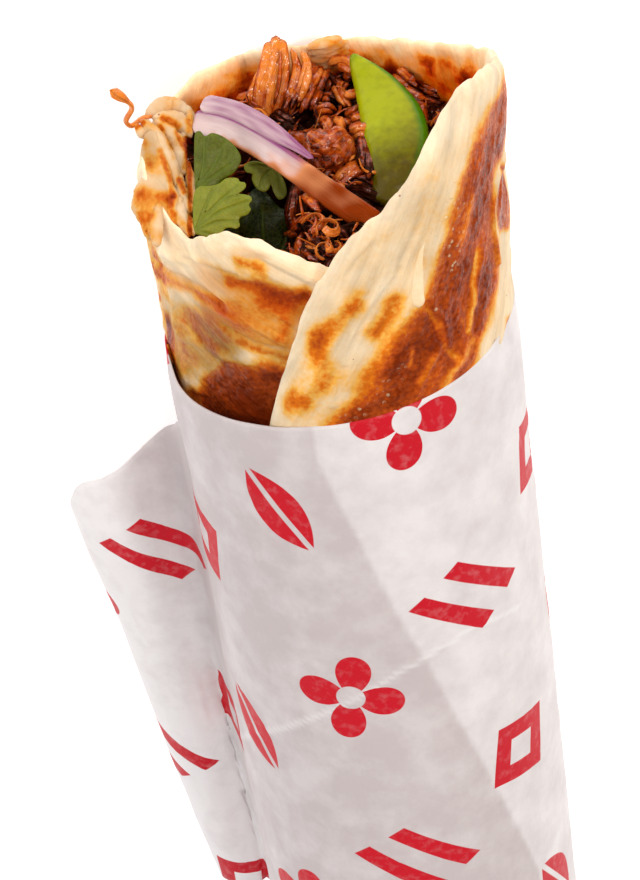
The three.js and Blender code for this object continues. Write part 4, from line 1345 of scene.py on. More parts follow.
def paper_tube_shape(sizes):
    """The sheet round the roll, with its far end folded shut in pleats."""
    wall_end, shoulder, fold_run = 0.87, 5.6, 26
    thick = sizes.paper_thickness / MM
    depth = sizes.paper_crinkle / MM

    def shape(u, v, side):
        angle = -180 + 360 * u
        inset = np.where(side > 0, 0, thick)
        round_spot = solid_place(20 * np.cos(np.radians(angle)), 20 * np.sin(np.radians(angle)), 0)
        rim = paper_rim(angle) + 0.18 * grain(round_spot, 5, 71)
        low = shoulder - PAPER_LENGTH
        share = np.clip(v / wall_end, 0, 1)
        inward = np.clip((v - wall_end) / (1 - wall_end), 0, 1)
        along = rim + (low - rim) * share
        pleat = np.mod(angle / 360 * PLEATS + 0.6 * inward, 1)
        fold_radius = PAPER_RADIUS * (1 - inward**1.1)
        pleated = smooth(inward, 0.06, 0.4) * (1 - smooth(inward, 0.86, 1))
        folded = -PAPER_LENGTH + shoulder * (1 - smooth(inward, 0, 0.34)) + 1.5 * pleat * pleated
        along = np.where(inward > 0, folded, along)
        down_sheet = np.where(inward > 0, low - fold_run * inward, along)
        spots = np.stack((np.radians(angle) * PAPER_RADIUS, down_sheet), axis=-1)
        closing = np.minimum(smooth(u, 0, 0.03), 1 - smooth(u, 0.97, 1))
        dents = paper_dents(spots, 0, depth) * closing - 0.1
        dents = dents * (1 - smooth(inward, 0, 0.2)) * smooth(along, rim + 0.5, rim - 5)
        crease = 1 - smooth(distance_to_line(spots, pixels_on_paper(PAPER_CREASE)), 0.1, 0.8)
        behind_line = pixels_on_paper(LAYER_BEHIND)
        line_at = np.interp(spots[:, 1], behind_line[::-1, 1], behind_line[::-1, 0])
        to_left = line_at - spots[:, 0]
        double = smooth(to_left, -0.7, 0.7) * smooth(angle, -100, -60)
        dents = dents + 0.14 * crease + 0.12 * double
        lip = -0.3 * (1 - smooth(rim - along, 0, 6))
        radius = np.where(inward > 0, fold_radius, PAPER_RADIUS) - inset - 0.15 + lip
        radius = radius + dents * (inward <= 0.3)
        radius = np.maximum(radius, 0)
        along = along + np.where(inward > 0, inset, 0)
        places = on_roll(angle, radius, along, inset)
        # Painted shade: the sheet is painted greyer beside the loose end.
        in_shade = 0.35 * (1 - smooth(np.abs(angle + 88), 4, 22))
        marks = {"double": 0.3 + 0.5 * double + in_shade, "crease": 0.35 * crease}
        return places, spots, marks

    return shape


def pixels_on_paper(pixels):
    """Pixels on the paper as spots on its unrolled sheet: round it and along it, in mm."""
    spots = []
    for pixel in pixels:
        angle, along = seen_on_roll(pixel, PAPER_RADIUS)
        spots.append((math.radians(angle) * PAPER_RADIUS, along))
    return np.array(spots)


def curl_table():
    """The loose end's section at each reach, in equal steps of its own length."""
    turn = math.radians(CURL_START)
    middle = PAPER_RADIUS - 0.2
    start = (-middle * math.sin(turn), AXIS_HEIGHT + middle * math.cos(turn), 0)
    stations = np.linspace(CURL_FOOT, CURL_TOP, 24)
    rows = []
    for along in stations:
        reach = CURL_REACH - PAPER_RADIUS - CURL_TAPER * max(CURL_CORNER - along, 0)
        points = [start] + [(PAPER_RADIUS + out * reach, up * reach, 0) for out, up in CURL_SECTION]
        places, _, run = curve_through(points, CURL_STEPS)
        rows.append(np.column_stack((places[:, :2], np.linspace(0, run, CURL_STEPS + 1))))
    return stations, np.array(rows)


def paper_curl_shape(sizes):
    """The sheet's loose end, which curls away from the roll."""
    thick = sizes.paper_thickness / MM
    depth = sizes.paper_crinkle / MM
    stations, table = curl_table()

    def shape(u, v, side):
        share = u
        ragged = 0.35 * grain(solid_place(share * 60, 0, 0), 6, 81)
        along = CURL_FOOT + (curl_edge(share) + ragged - CURL_FOOT) * v
        row = np.clip((along - stations[0]) / (stations[1] - stations[0]), 0, len(stations) - 1.001)
        step = np.clip(share * CURL_STEPS, 0, CURL_STEPS - 0.001)
        r0 = row.astype(int)
        s0 = step.astype(int)
        rf = (row - r0)[:, None]
        sf = (step - s0)[:, None]
        here = (table[r0, s0] * (1 - sf) + table[r0, s0 + 1] * sf) * (1 - rf)
        here = here + (table[r0 + 1, s0] * (1 - sf) + table[r0 + 1, s0 + 1] * sf) * rf
        ahead = table[r0, s0 + 1] - table[r0, s0]
        heading = ahead[:, :2] / np.linalg.norm(ahead[:, :2], axis=1, keepdims=True)
        spots = np.stack((math.radians(CURL_START) * PAPER_RADIUS - here[:, 2], along), axis=-1)
        free = smooth(share, 0.03, 0.2)
        dents = paper_dents(spots, 3, depth * 1.3) * free + 0.42 * free * np.sin(along / 17 + 4 * share)
        off = dents + side * thick / 2
        out = here[:, 0] - heading[:, 1] * off
        up = here[:, 1] + heading[:, 0] * off
        up = np.maximum(up, np.where(side < 0, 0.45, 0.05))
        places = solid_place(-out, up - AXIS_HEIGHT, along)
        # Painted shadow: the loose end is painted greyer near the roll.
        marks = {"double": 1.2 * (1 - smooth(share, 0.02, 0.5)) - 0.1, "crease": np.zeros(len(u))}
        return places, spots, marks

    return shape


# ---- The filling -------------------------------------------------------------------------------
ONION_PATH = [
    (-18.8, -12.5, 35.5), (-12.8, -7, 35.6), (-6.3, -0.3, 33.5), (0.9, 7.4, 29.8), (8.1, 13.6, 25.6),
]
ONION_UP = np.array((0.53, -0.18, 0.83))
# The back strip stands 3 mm above the front one, and stops short of its end.
ONION_BACK_PATH = [
    tuple(np.array(place) + up * ONION_UP)
    for place, up in zip(ONION_PATH[:3] + [(-1.8, 4.0, 32.2)], (3.3, 3.3, 3.1, 2.3))
]
PEPPER_PATH = [
    tuple(at_rise(pixel, rise))
    for pixel, rise in (
        ((351, 57), -21.4), ((361, 68), -19), ((377, 89), -14.6), ((391, 114), -8.6), ((397, 142), -2.6),
        ((393, 174), 2.4), ((384, 206), 6.8),
    )
]
FIBROUS_PATH = [(-2.6, -23.2, 42.4), (-4.2, -21.8, 38), (-6, -18.8, 32.5), (-7.4, -15.4, 27)]
STRIP_WIDE = (1, 0, 0.15)
CHUNK_PATH = [(-1.8, -3.8, 29.6), (0.8, -3.9, 30.2), (3.4, -3.6, 30.2), (6, -3, 29.4)]
CURLY_PATH = [
    (-25.6, -12.6, 37.7), (-27.4, -12.4, 37.5), (-29.2, -12.1, 36.7), (-29.9, -11.7, 38.1),
    (-28.5, -11.2, 40.4), (-29.2, -10.8, 42.2), (-30.9, -10.4, 44.2),
]

# Where one looks down between the pieces, each as a middle and a reach in pixels.
# There the core is painted dark: painted shade.
HOLLOWS = (((309, 121), (22, 18)), ((372, 197), (18, 24)), ((276, 206), (34, 50)))
# Places that no loose shred covers: two gaps between the pieces, the leaves' hollow, and the curled
# shreds. Single fibres reach further into the first gap.
GAP_BY_STRIP = ((309, 121), (17, 13))
GAP_FOR_FIBRES = ((306, 119), (14, 11))
GAP_BY_PEPPER = ((372, 197), (14, 18))
LEAF_HOLLOW = ((281, 208), (24, 42))
CURLS = ((322, 240), (17, 17))
# How many single fibres stick out of the filling.
LOOSE_FIBRES = 420
# Shreds that the photograph shows, each as half width in mm, tone from dark to light, and its
# points: a pixel, and the height above the filling in mm.
SHOWN_SHREDS = [
    (1.5, 0.72, [(322, 70, 1.6), (314, 82, 2.4), (302, 98, 1.6), (296, 112, 0.4)]),
    (1.3, 0.66, [(319, 86, 1.6), (313, 98, 2.2), (303, 114, 0.8)]),
    (1.1, 0.8, [(303, 62, 3.4), (307, 76, 3.2), (300, 92, 2.2), (290, 108, 1.0)]),
    (0.75, 0.95, [(336, 86, 1.7), (341, 97, 2.0), (349, 109, 1.2)]),
    (0.6, 0.9, [(343, 92, 1.4), (352, 95, 1.9), (363, 90, 1.0)]),
    (1.0, 0.85, [(331, 68, 1.4), (341, 63, 2.6), (352, 69, 2.6), (357, 77, 1.2)]),
    (0.8, 0.5, [(314, 78, 0.8), (324, 76, 2.0), (333, 84, 1.6), (331, 96, 0.6)]),
    (0.9, 0.62, [(318, 100, 0.8), (327, 97, 1.8), (336, 104, 1.0)]),
    (0.8, 0.7, [(316, 112, 0.6), (326, 108, 1.7), (336, 114, 0.8)]),
    (0.6, 0.85, [(322, 118, 0.8), (328, 126, 1.6), (325, 137, 0.6)]),
    (0.6, 0.8, [(334, 118, 1.0), (341, 124, 1.6), (338, 134, 0.6)]),
    (0.8, 0.75, [(346, 118, 0.8), (356, 111, 1.8), (367, 106, 1.0)]),
    (0.9, 0.7, [(350, 124, 0.8), (360, 120, 1.8), (368, 122, 0.8)]),
    (0.5, 0.8, [(343, 128, 0.8), (350, 122, 1.6), (357, 130, 0.6)]),
    (1.1, 0.35, [(340, 140, 0.4), (347, 150, 1.2), (350, 165, 0.6)]),
    (1.25, 0.6, [(366, 136, 1.8), (367, 150, 2.2), (366, 166, 1.6), (364, 182, 0.4)]),
    (0.7, 0.7, [(357, 134, 1.6), (361, 150, 2.0), (362, 170, 0.8)]),
    (1.0, 0.95, [(352, 137, 1.0), (360, 131, 2.6), (371, 135, 1.2)]),
    (1.3, 0.85, [(396, 74, 1.0), (408, 84, 2.0), (420, 98, 1.4)]),
    (1.1, 0.75, [(400, 92, 1.2), (414, 99, 2.2), (428, 104, 1.2)]),
    (0.8, 0.55, [(416, 84, 0.6), (428, 90, 1.4), (442, 96, 0.6)]),
    (0.9, 0.65, [(412, 104, 1.0), (420, 112, 1.8), (424, 124, 0.6)]),
    (0.7, 0.35, [(424, 100, 0.4), (436, 105, 1.2), (446, 104, 0.4)]),
    (0.5, 0.9, [(233, 100, 1.6), (248, 95, 2.6), (270, 91, 1.8)]),
    (0.35, 1.0, [(243, 103, 1.6), (252, 104, 2.4), (259, 113, 1.6), (262, 122, 0.8)]),
    (0.9, 0.5, [(270, 112, 0.6), (282, 118, 1.6), (296, 130, 0.6)]),
    (1.3, 0.75, [(286, 141, 0.4), (298, 142, 1.8), (312, 150, 2.0)]),
    (1.0, 0.7, [(289, 232, 0.4), (298, 232, 1.4), (307, 230, 1.0)]),
    (0.55, 0.9, [(307, 194, 1.0), (312, 204, 2.0), (320, 213, 1.6)]),
    (0.7, 0.6, [(334, 228, 0.6), (344, 236, 1.4), (350, 246, 0.6)]),
    (0.9, 0.55, [(300, 252, 0.5), (310, 262, 1.5), (322, 266, 0.8)]),
    (0.7, 0.6, [(326, 252, 0.6), (336, 250, 1.4), (346, 243, 0.6)]),
]
# Shreds curled into rings: the ring's middle as a pixel and a height, its radius, half width, tone,
# the degrees at which it starts and through which it turns, and how far its axle leans to the right.
CURLED_SHREDS = [
    ((328, 231), 2.2, 2.0, 0.85, 0.9, 60, 350, 0.2),
    ((314, 229), 1.8, 2.9, 0.45, 0.8, 130, 210, -0.45),
    ((311, 231), 1.4, 3.3, 0.4, 0.65, 140, 190, -0.5),
    ((307, 232), 1.0, 3.4, 0.45, 0.5, 140, 180, -0.55),
    ((324, 252), 1.4, 1.5, 0.5, 0.95, 0, 350, 0.1),
    ((334, 249), 1.2, 1.3, 0.45, 0.8, 200, 300, -0.2),
]
# The long strip's slabs: half widths in mm from top to bottom, strands, tone, and points as a pixel
# and a height in front of the strip's middle, in mm.
STRIP_SLABS = [
    ((1.7, 2.5, 2.9, 2.7, 1.8), 3, 0.92,
     [(276, 37, 0.6), (275, 60, 0.9), (271, 88, 0.9), (267, 110, 0.5), (268, 134, 0)]),
    ((0.4, 0.9, 1.3, 1.2, 0.9), 2, 0.7,
     [(292, 48, 0.0), (297, 66, 0.4), (295, 88, 0.7), (287, 112, 0.6), (280, 136, 0)]),
    ((0.5, 0.9, 1.0, 0.6), 2, 0.95, [(303, 52, 0.2), (307, 66, 0.7), (303, 84, 1.2), (294, 108, 0.6)]),
    ((0.3, 0.8, 0.7, 0.3), 1, 1.05, [(309, 66, 0.9), (308, 78, 1.6), (303, 92, 1.5), (298, 106, 0.6)]),
    ((0.4, 0.8, 1.0), 2, 0.85, [(259, 72, 0.2), (253, 90, 0.3), (247, 106, 0.1)]),
    ((0.4, 0.7, 0.7), 1, 0.45, [(290, 96, 1.1), (284, 114, 0.9), (279, 132, 0.1)]),
    ((0.2, 0.35, 0.3), 1, 0.75, [(281, 52, 1.7), (280, 76, 1.9), (275, 104, 1.5)]),
]


def outside_of(shows_at, place):
    """Above 0 where pixels lie outside a place that is given as a middle and a reach."""
    middle, reach = place
    return np.linalg.norm((shows_at - middle) / reach, axis=-1) - 1


def filling_radius(angle):
    """How far the chicken reaches from the axis: less where the bread's inner layer lies round it."""
    turned = np.where(angle > 180, angle - 360, angle)
    under_flap = smooth(turned, -102, -62) * (1 - smooth(turned, 68, 84))
    return BREAD_OUTER_LAYER + (BREAD_INNER_LAYER - BREAD_OUTER_LAYER) * under_flap - 1.7


def filling_shape(u, v, side):
    """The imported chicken: from the middle of its open end, out, down inside the bread, and closed."""
    angle = 360 * u
    outward = np.clip(v / 0.66, 0, 1)
    down = np.clip((v - 0.66) / 0.24, 0, 1)
    inward = np.clip((v - 0.9) / 0.1, 0, 1)
    share = np.where(v <= 0.66, outward, 1 - inward)
    spot = on_roll(angle, filling_radius(angle) * share, 0, 4.2)
    drift = solid_place(spot[:, 0], spot[:, 1], 0)
    fine = 0.8 * grain(drift, 2.6, 101) + 0.45 * np.abs(grain(drift, 1.3, 102))
    level = filling_level(spot[:, 0], spot[:, 1]) - 1.7 + fine * (1 - smooth(share, 0.93, 1))
    along = level + (-141 - level) * down
    places = solid_place(spot[:, 0], spot[:, 1], along)
    seen = pixels_of(places)
    hollow = np.zeros(len(u))
    for place in HOLLOWS:
        hollow = np.maximum(hollow, 1 - smooth(outside_of(seen, place), -0.3, 0.2))
    # Painted shade: the core is dark, and darker still in the hollows.
    tone = 0.1 + 0.25 * fine - 0.9 * hollow
    return places, np.stack((angle, along), axis=-1), {"tone": tone}


def away_from(place, path):
    """How far a place lies from the curve through a path's points, in mm."""
    points, _, _ = curve_through(path, 24)
    return np.linalg.norm(points - place, axis=1).min()


def shred_ridges(seed, depth=0.16, count=5):
    """Lengthwise grooves that wander a little."""

    def ridges(u, around):
        broad = np.sin(count * around + seed + 2.2 * math.sin(3 * u + seed))
        return 1 + depth * (broad + 0.5 * np.sin((2 * count + 1) * around - seed + 4 * u))

    return ridges


def torn(
    bundle, path, half_width, half_thickness, wide, strands, tone, seed,
    ragged=0.2, steps=14, sides=8, close=1.5, rough=0.35, lumpy=True,
):
    """A piece of meat pulled along its fibres: strands side by side, their ends ragged. half_width
    and tone are functions of the share of the path. wide is as in Bundle.add. close is how much the
    strands lap, and rough how unevenly they lie. lumpy strands swell and shrink along their run."""
    chance = np.random.RandomState(seed)
    cuts = 40
    centres, headings, _ = curve_through(path, cuts)
    if wide is None:
        broad = np.cross(headings, TOWARD)
    else:
        broad = np.asarray(wide, float) - headings * (headings @ np.asarray(wide, float))[:, None]
    broad = broad / (np.linalg.norm(broad, axis=1, keepdims=True) + 1e-9)
    thin = np.cross(headings, broad)
    thin = thin * np.sign(thin @ TOWARD + 1e-6)[:, None]
    for n in range(strands):
        share = (n + 0.5) / strands * 2 - 1
        first = chance.uniform(0, ragged) + (0 if lumpy else 0.05 * share * share)
        last = 1 - chance.uniform(0, ragged)
        lift = chance.uniform(-rough, rough)
        fray = chance.uniform(-0.5, 0.5)
        own = []
        for u in np.linspace(first, last, 6):
            k = u * cuts
            k0 = min(int(k), cuts - 1)
            centre = centres[k0] + (centres[k0 + 1] - centres[k0]) * (k - k0)
            aside = share * half_width(u) * (1 + 0.25 * fray * u) + fray * 0.25 * math.sin(5 * u + n)
            if not lumpy:
                aside = (2 * n - strands + 1) / max(strands - 1, 1) * half_width(u) * (1 - close / strands)
            rise = half_thickness * (0.7 * math.sqrt(max(1 - share * share, 0)) + lift)
            own.append(centre + broad[k0] * aside + thin[k0] * rise)
        width = half_width(0.5) * close / strands * (chance.uniform(0.75, 1.25) if lumpy else 1)
        own_tone = chance.uniform(-0.16, 0.16) if lumpy else chance.uniform(-0.07, 0.07)

        def size(u, width=width, first=first, last=last):
            slab = 1 if lumpy else half_width(first + (last - first) * u) / half_width(0.5)
            return float(torn_width(u, lumpy)) * width * slab, half_thickness * 0.75

        bundle.add(
            own,
            size,
            wide,
            steps=steps,
            sides=sides,
            tone=lambda u, t=own_tone, f=first, g=last: tone(f + (g - f) * u) + t,
            ridges=fibrous_lumps(seed + n * 1.9, 0.16) if lumpy else shred_ridges(seed + n * 1.9, 0.03, 7),
            turn=chance.uniform(-20, 20) if lumpy else 0,
            edge=0.34 if lumpy else 0.5,
        )


def fibrous_lumps(seed, depth):
    """Dents, and grooves along the fibres."""
    dents = rumpled(seed, depth, 7.0)
    grooves = shred_ridges(seed, 0.16, 3)
    return lambda u, around: dents(u, around) * grooves(u, around)


def torn_width(u, lumpy):
    """Strands are about even in width, with a blunt start and a frayed end."""
    start = 0.5 if lumpy else 0.8
    return (start + (1 - start) * smooth(u, 0, 0.1 if lumpy else 0.03)) * (1 - 0.55 * smooth(u, 0.72, 1))


def add_shown_shreds(bundle):
    """The torn shreds and the curled rings that the photograph shows."""
    for k, (half_width, tone, points) in enumerate(SHOWN_SHREDS):
        torn(
            bundle,
            [seen_on_filling((px, py), lift) for px, py, lift in points],
            lambda u, w=half_width: 1.05 * w,
            0.45 * half_width + 0.15,
            None,
            1 + int(half_width * 1.5),
            lambda u, t=tone: t - 0.2,
            seed=40 + k,
            ragged=0.3,
        )
    for k, (pixel, lift, radius, half_width, tone, start, sweep, lean) in enumerate(CURLED_SHREDS):
        middle = seen_on_filling(pixel, lift)
        axle = unit(TOWARD * 0.78 + UP * 0.5 + RIGHT * lean)
        one = unit(np.cross(axle, RIGHT))
        two = np.cross(axle, one)
        turns = np.radians(start + np.linspace(0, sweep, 13))
        path = [
            middle + radius * (one * math.cos(t) + two * math.sin(t)) * (1 - 0.03 * n) + axle * 0.14 * n
            for n, t in enumerate(turns)
        ]
        bundle.add(
            path,
            lambda u, w=half_width: (w * (0.6 + 0.4 * math.sin(math.pi * (0.1 + 0.8 * u))), 0.15),
            axle,
            steps=44,
            sides=12,
            tone=tone,
            ridges=shred_ridges(k * 2.3, 0.1, 3),
        )


def add_loose_shreds(bundle, count):
    """Seeded torn shreds, spread over the filling where no larger piece lies and no gap stays open."""
    chance = np.random.RandomState(17)
    placed = 0
    while placed < count:
        angle = chance.uniform(0, 360)
        distance = math.sqrt(chance.uniform(0, 1)) * (float(filling_radius(np.array(angle))) - 1.4)
        spot = np.array((distance * math.sin(math.radians(angle)), distance * math.cos(math.radians(angle))))
        heading = chance.uniform(0, math.pi)
        large = chance.uniform(0, 1) ** 2
        half = 1.4 + 3.2 * large + chance.uniform(0, 0.6)
        width = 0.5 + 1.3 * large + chance.uniform(0, 0.3)
        arch = chance.uniform(0.2, 1.6)
        tone = 0.66 * chance.uniform(0, 1) ** 1.5
        bow = chance.uniform(-1.2, 1.2)
        slope = chance.uniform(-0.6, 0.6)
        way = np.array((math.cos(heading), math.sin(heading)))
        side_way = np.array((-way[1], way[0]))
        path = []
        for share in (-1, -0.4, 0.3, 1):
            here = spot + way * half * share + side_way * bow * (1 - share**2)
            limit = float(filling_radius(np.array(math.degrees(math.atan2(here[0], here[1])) % 360))) - 0.8
            here = here * min(1, limit / max(np.linalg.norm(here), 1e-6))
            here[1] = max(here[1], -24.0)
            lift = arch * (1 - share**2) - 0.8 + slope * share
            path.append((here[0], here[1], float(filling_level(here[0], here[1])) + lift))
        middle = np.array(path[1])
        shows_at = pixels_of(middle)[0]
        clear = min(
            away_from(middle, ONION_PATH) - 3.4,
            away_from(middle, PEPPER_PATH) - 4.6,
            away_from(middle, FIBROUS_PATH) - 3.6,
            away_from(middle, CHUNK_PATH) - 2.6,
            outside_of(shows_at, GAP_BY_STRIP),
            outside_of(shows_at, GAP_BY_PEPPER),
            outside_of(shows_at, LEAF_HOLLOW),
            outside_of(shows_at, CURLS),
        )
        if clear < 0 or abs(path[0][2] - path[3][2]) > 7:
            continue
        placed += 1
        if placed % 3 == 0:
            torn(
                bundle,
                path,
                lambda u, w=width: w,
                0.26 + 0.2 * width,
                (side_way[0], side_way[1], slope),
                1 + int(2.2 * large),
                lambda u, t=tone: t,
                seed=200 + placed,
                ragged=0.3,
                steps=8,
                sides=7,
                close=1.9,
            )
        else:
            add_chip(bundle, path, 0.75 * width, tone, chance)


def add_frays(bundle, count):
    """Single fibres that have pulled loose and stick out of the filling."""
    chance = np.random.RandomState(23)
    made = 0
    while made < count:
        angle = chance.uniform(0, 2 * math.pi)
        distance = 24 * math.sqrt(chance.uniform(0, 1))
        foot = np.array((distance * math.sin(angle), distance * math.cos(angle), 0))
        foot[2] = float(filling_level(foot[0], foot[1])) + chance.uniform(0.0, 1.4)
        way = unit((chance.normal(), chance.normal(), chance.uniform(-0.3, 0.9)))
        aside = unit(np.cross(way, (chance.normal(), chance.normal(), chance.normal())))
        reach = chance.uniform(1.5, 4.2)
        bow = chance.uniform(-0.25, 0.25) * reach
        path = [
            foot + way * reach * share + aside * bow * (1 - (2 * share - 1) ** 2)
            for share in (0, 0.35, 0.7, 1)
        ]
        shows_at = pixels_of(foot)[0]
        clear = min(
            away_from(path[2], ONION_PATH) - 3.6,
            away_from(path[2], PEPPER_PATH) - 5.0,
            away_from(path[2], FIBROUS_PATH) - 3.0,
            24.6 - np.linalg.norm(path[3][:2]),
            outside_of(shows_at, LEAF_HOLLOW),
            outside_of(shows_at, GAP_FOR_FIBRES),
        )
        if clear < 0 or path[3][1] < -24:
            continue
        made += 1
        thickness = chance.uniform(0.12, 0.28)
        bundle.add(
            path,
            lambda u, t=thickness: (1.5 * t * (1 - 0.6 * u), t * (1 - 0.6 * u)),
            unit((chance.normal(), chance.normal(), 0.1)),
            steps=8,
            sides=5,
            tone=chance.uniform(0.4, 1.05),
        )


def darken_depths(piece, amount):
    """Painted shade: makes the meat darker the deeper it lies in the filling."""
    places = places_of(piece)
    height = places[:, 2] - filling_level(places[:, 0], places[:, 1])
    tones = np.empty(len(places))
    piece.data.attributes["tone"].data.foreach_get("value", tones)
    mark(piece, "tone", tones - amount * (1 - smooth(height, -1.3, 1.3)))


def add_chip(bundle, path, half_width, tone, chance):
    """A small lump of meat, thicker in the middle, its skin dented."""
    flatness = chance.uniform(0.25, 0.8)
    skew = chance.uniform(0.3, 0.7)

    def size(u):
        half = half_width * (0.45 + 0.6 * math.sin(math.pi * u**skew) ** 0.7)
        return half, flatness * half

    bundle.add(
        path,
        size,
        unit((chance.normal(), chance.normal(), chance.normal() + 0.1)),
        steps=10,
        sides=11,
        tone=tone,
        ridges=fibrous_lumps(chance.uniform(0, 90), 0.34),
        edge=0.2,
    )


def add_chunk(bundle):
    """The lump behind the onion: meat pressed together under a thick, glistening sauce."""
    chance = np.random.RandomState(5)
    bundle.add(
        CHUNK_PATH,
        lambda u: (1.9 + 2.6 * math.sin(math.pi * u) ** 0.7, 1.5 + 1.5 * math.sin(math.pi * u)),
        (0, -0.6, 0.8),
        steps=48,
        sides=48,
        tone=0.48,
        ridges=rumpled(50, 0.2, 9.0),
    )
    centre = np.array((2.2, -3.9, 30.0))
    lengthways = unit((1.0, -0.1, -0.25))
    for k in range(34):
        lean = unit((chance.normal(), chance.normal(), chance.normal()))
        lean = lean * np.sign(np.dot(lean, TOWARD))
        spot = centre + lean * np.array((4.5, 2.9, 3.3))
        loose = chance.uniform(-0.9, 0.9) * np.cross(lean, lengthways)
        way = unit(lengthways - lean * np.dot(lengthways, lean) + loose)
        half = chance.uniform(0.5, 1.5)
        path = [spot - way * half - lean * 0.5, spot + lean * 0.1, spot + way * half - lean * 0.5]
        add_chip(bundle, path, chance.uniform(0.35, 0.75), chance.uniform(0.15, 0.95), chance)


def add_fibrous(bundle):
    """The long torn strip that stands up at the back: slabs of fibres that lap, split lower down."""
    bundle.add(
        [0.75 * np.array(FIBROUS_PATH[0]) + 0.25 * np.array(FIBROUS_PATH[1])] + FIBROUS_PATH[1:],
        lambda u: (0.9 + 3.0 * math.sin(2.4 * u), 0.4 + 0.35 * u),
        STRIP_WIDE,
        steps=50,
        sides=40,
        tone=lambda u: 0.5 - 0.7 * u,
        ridges=lambda u, around: 1 + 0.05 * np.sin(13 * around + 0.5 * math.sin(3 * u)),
    )
    top, low = np.array(FIBROUS_PATH[0]), np.array(FIBROUS_PATH[-1])
    facing = unit(np.cross(low - top, STRIP_WIDE))
    facing = facing * np.sign(np.dot(facing, TOWARD))
    for k, (half_widths, strands, tone, points) in enumerate(STRIP_SLABS):
        middle = np.array(FIBROUS_PATH[1])
        path = [seen_on_plane((px, py), middle + facing * lift, facing) for px, py, lift in points]
        stops = np.linspace(0, 1, len(half_widths))
        torn(
            bundle,
            path,
            lambda u, s=stops, w=half_widths: float(np.interp(u, s, w)),
            0.55,
            STRIP_WIDE,
            strands,
            lambda u, t=tone: t + 0.07 - 0.5 * u * u,
            seed=70 + k,
            ragged=0.05,
            steps=40,
            sides=22,
            close=1.45 if strands > 1 else 1.0,
            rough=0.3,
            lumpy=False,
        )


def strip_shape(path, across_way, half_width, half_thickness, bow, marks_of, rounding=1.6):
    """A flat strip along a path, with rounded edges and ends. bow curves it across its width."""
    cuts = 200
    centres, headings, reach = curve_through(path, cuts)

    def shape(u, v, side):
        k = np.clip(u * cuts, 0, cuts - 0.001)
        k0 = k.astype(int)
        part = (k - k0)[:, None]
        centre = centres[k0] * (1 - part) + centres[k0 + 1] * part
        heading = headings[k0] * (1 - part) + headings[k0 + 1] * part
        heading = heading / np.linalg.norm(heading, axis=1, keepdims=True)
        broad = across_way - heading * (heading @ across_way)[:, None]
        broad = broad / np.linalg.norm(broad, axis=1, keepdims=True)
        thin = np.cross(heading, broad)
        thin = thin * np.sign(thin @ TOWARD)[:, None]
        w = 2 * v - 1
        from_end = np.minimum(u, 1 - u) * reach
        width = half_width(u) * np.sqrt(np.clip(1 - (1 - np.clip(from_end / rounding, 0, 1)) ** 2, 0.0004, 1))
        thick = half_thickness(u, w) * np.sqrt(np.clip(1 - np.abs(w) ** 5, 0.002, 1))
        thick = thick * np.sqrt(np.clip(1 - (1 - np.clip(from_end / 0.8, 0, 1)) ** 2, 0.02, 1))
        run = solid_place(u * reach, w * 3, side)
        off = bow(u, w) + side * thick + 0.08 * grain(run, 2.2, 111)
        places = centre + broad * (width * w)[:, None] + thin * off[:, None]
        spots = np.stack((u * reach, w * 2.5), axis=-1)
        return places, spots, marks_of(u, w, side)

    return shape


def onion_front_marks(u, w, side):
    """Purple along the skin edge and at the left end, stained brown towards the right."""
    skin_line = smooth(w, 0.62, 0.9)
    left_end = (1 - smooth(u, 0.0, 0.022)) * 0.6
    purple = np.maximum(0.9 * skin_line, left_end) + 0.32 * smooth(w, -0.1, 0.7)
    purple = purple * (1 - smooth(u, 0.56, 0.72))
    crusted = w + 0.2 * grain(solid_place(u * 40, 0, 0), 1.6, 112)
    crust = (1 - smooth(crusted, -0.85, -0.4)) * smooth(u, 0.08, 0.2)
    blotch = 0.08 * grain(solid_place(u * 30, w * 2, 0), 2.2, 114)
    reached = u - 0.05 * w + blotch
    cooked = 0.5 * smooth(reached, 0.44, 0.62) + 0.5 * smooth(reached, 0.54, 0.8)
    stain = cooked + 0.5 * crust * (1 - cooked)
    return {"purple": purple, "stain": np.clip(stain, 0, 1)}


def onion_back_marks(u, w, side):
    """Purple streaks, stronger at the skin and to the right. No sauce has reached it."""
    streaks = grain(solid_place(u * 5, w * 2.2, 0), 0.9, 113)
    purple = 0.3 + 0.22 * smooth(w, 0.0, 0.9) + 0.2 * smooth(u, 0.0, 0.2) + 0.25 * smooth(u, 0.4, 1)
    purple = purple + 0.22 * streaks
    return {"purple": purple, "stain": np.zeros(len(u))}


def pepper_marks(u, w, side):
    """Skin on the outer edge and at the top, and the lower end darker: sauce, and painted shade."""
    skin = smooth(w, 0.55, 0.86) * (1 - 0.5 * smooth(u, 0.5, 0.8)) + 0.6 * (1 - smooth(u, 0.0, 0.08))
    low = smooth(u + 0.08 * w, 0.38, 0.86)
    return {"skin": np.clip(skin, 0, 1), "low": low}


# ---- Leaves ------------------------------------------------------------------------------------
class Blade:
    """The flat plane that a leaf grows in, from its stalk: forward to its tip, and sideways."""

    def __init__(self, stalk, tip, side_way):
        self.stalk = np.asarray(stalk, float)
        self.forward = unit(tip)
        self.sideways = unit(np.asarray(side_way) - self.forward * np.dot(side_way, self.forward))
        normal = np.cross(self.forward, self.sideways)
        self.normal = normal * np.sign(np.dot(normal, TOWARD))

    def seen(self, pixel):
        return seen_on_plane(pixel, self.stalk, self.normal)

    def out(self, reach, turn):
        """The place that far from the stalk, that many radians off the way forward."""
        return self.stalk + self.forward * reach * math.cos(turn) + self.sideways * reach * math.sin(turn)

    def flat(self, places):
        offset = np.atleast_2d(places) - self.stalk
        return np.stack((offset @ self.forward, offset @ self.sideways), axis=-1)


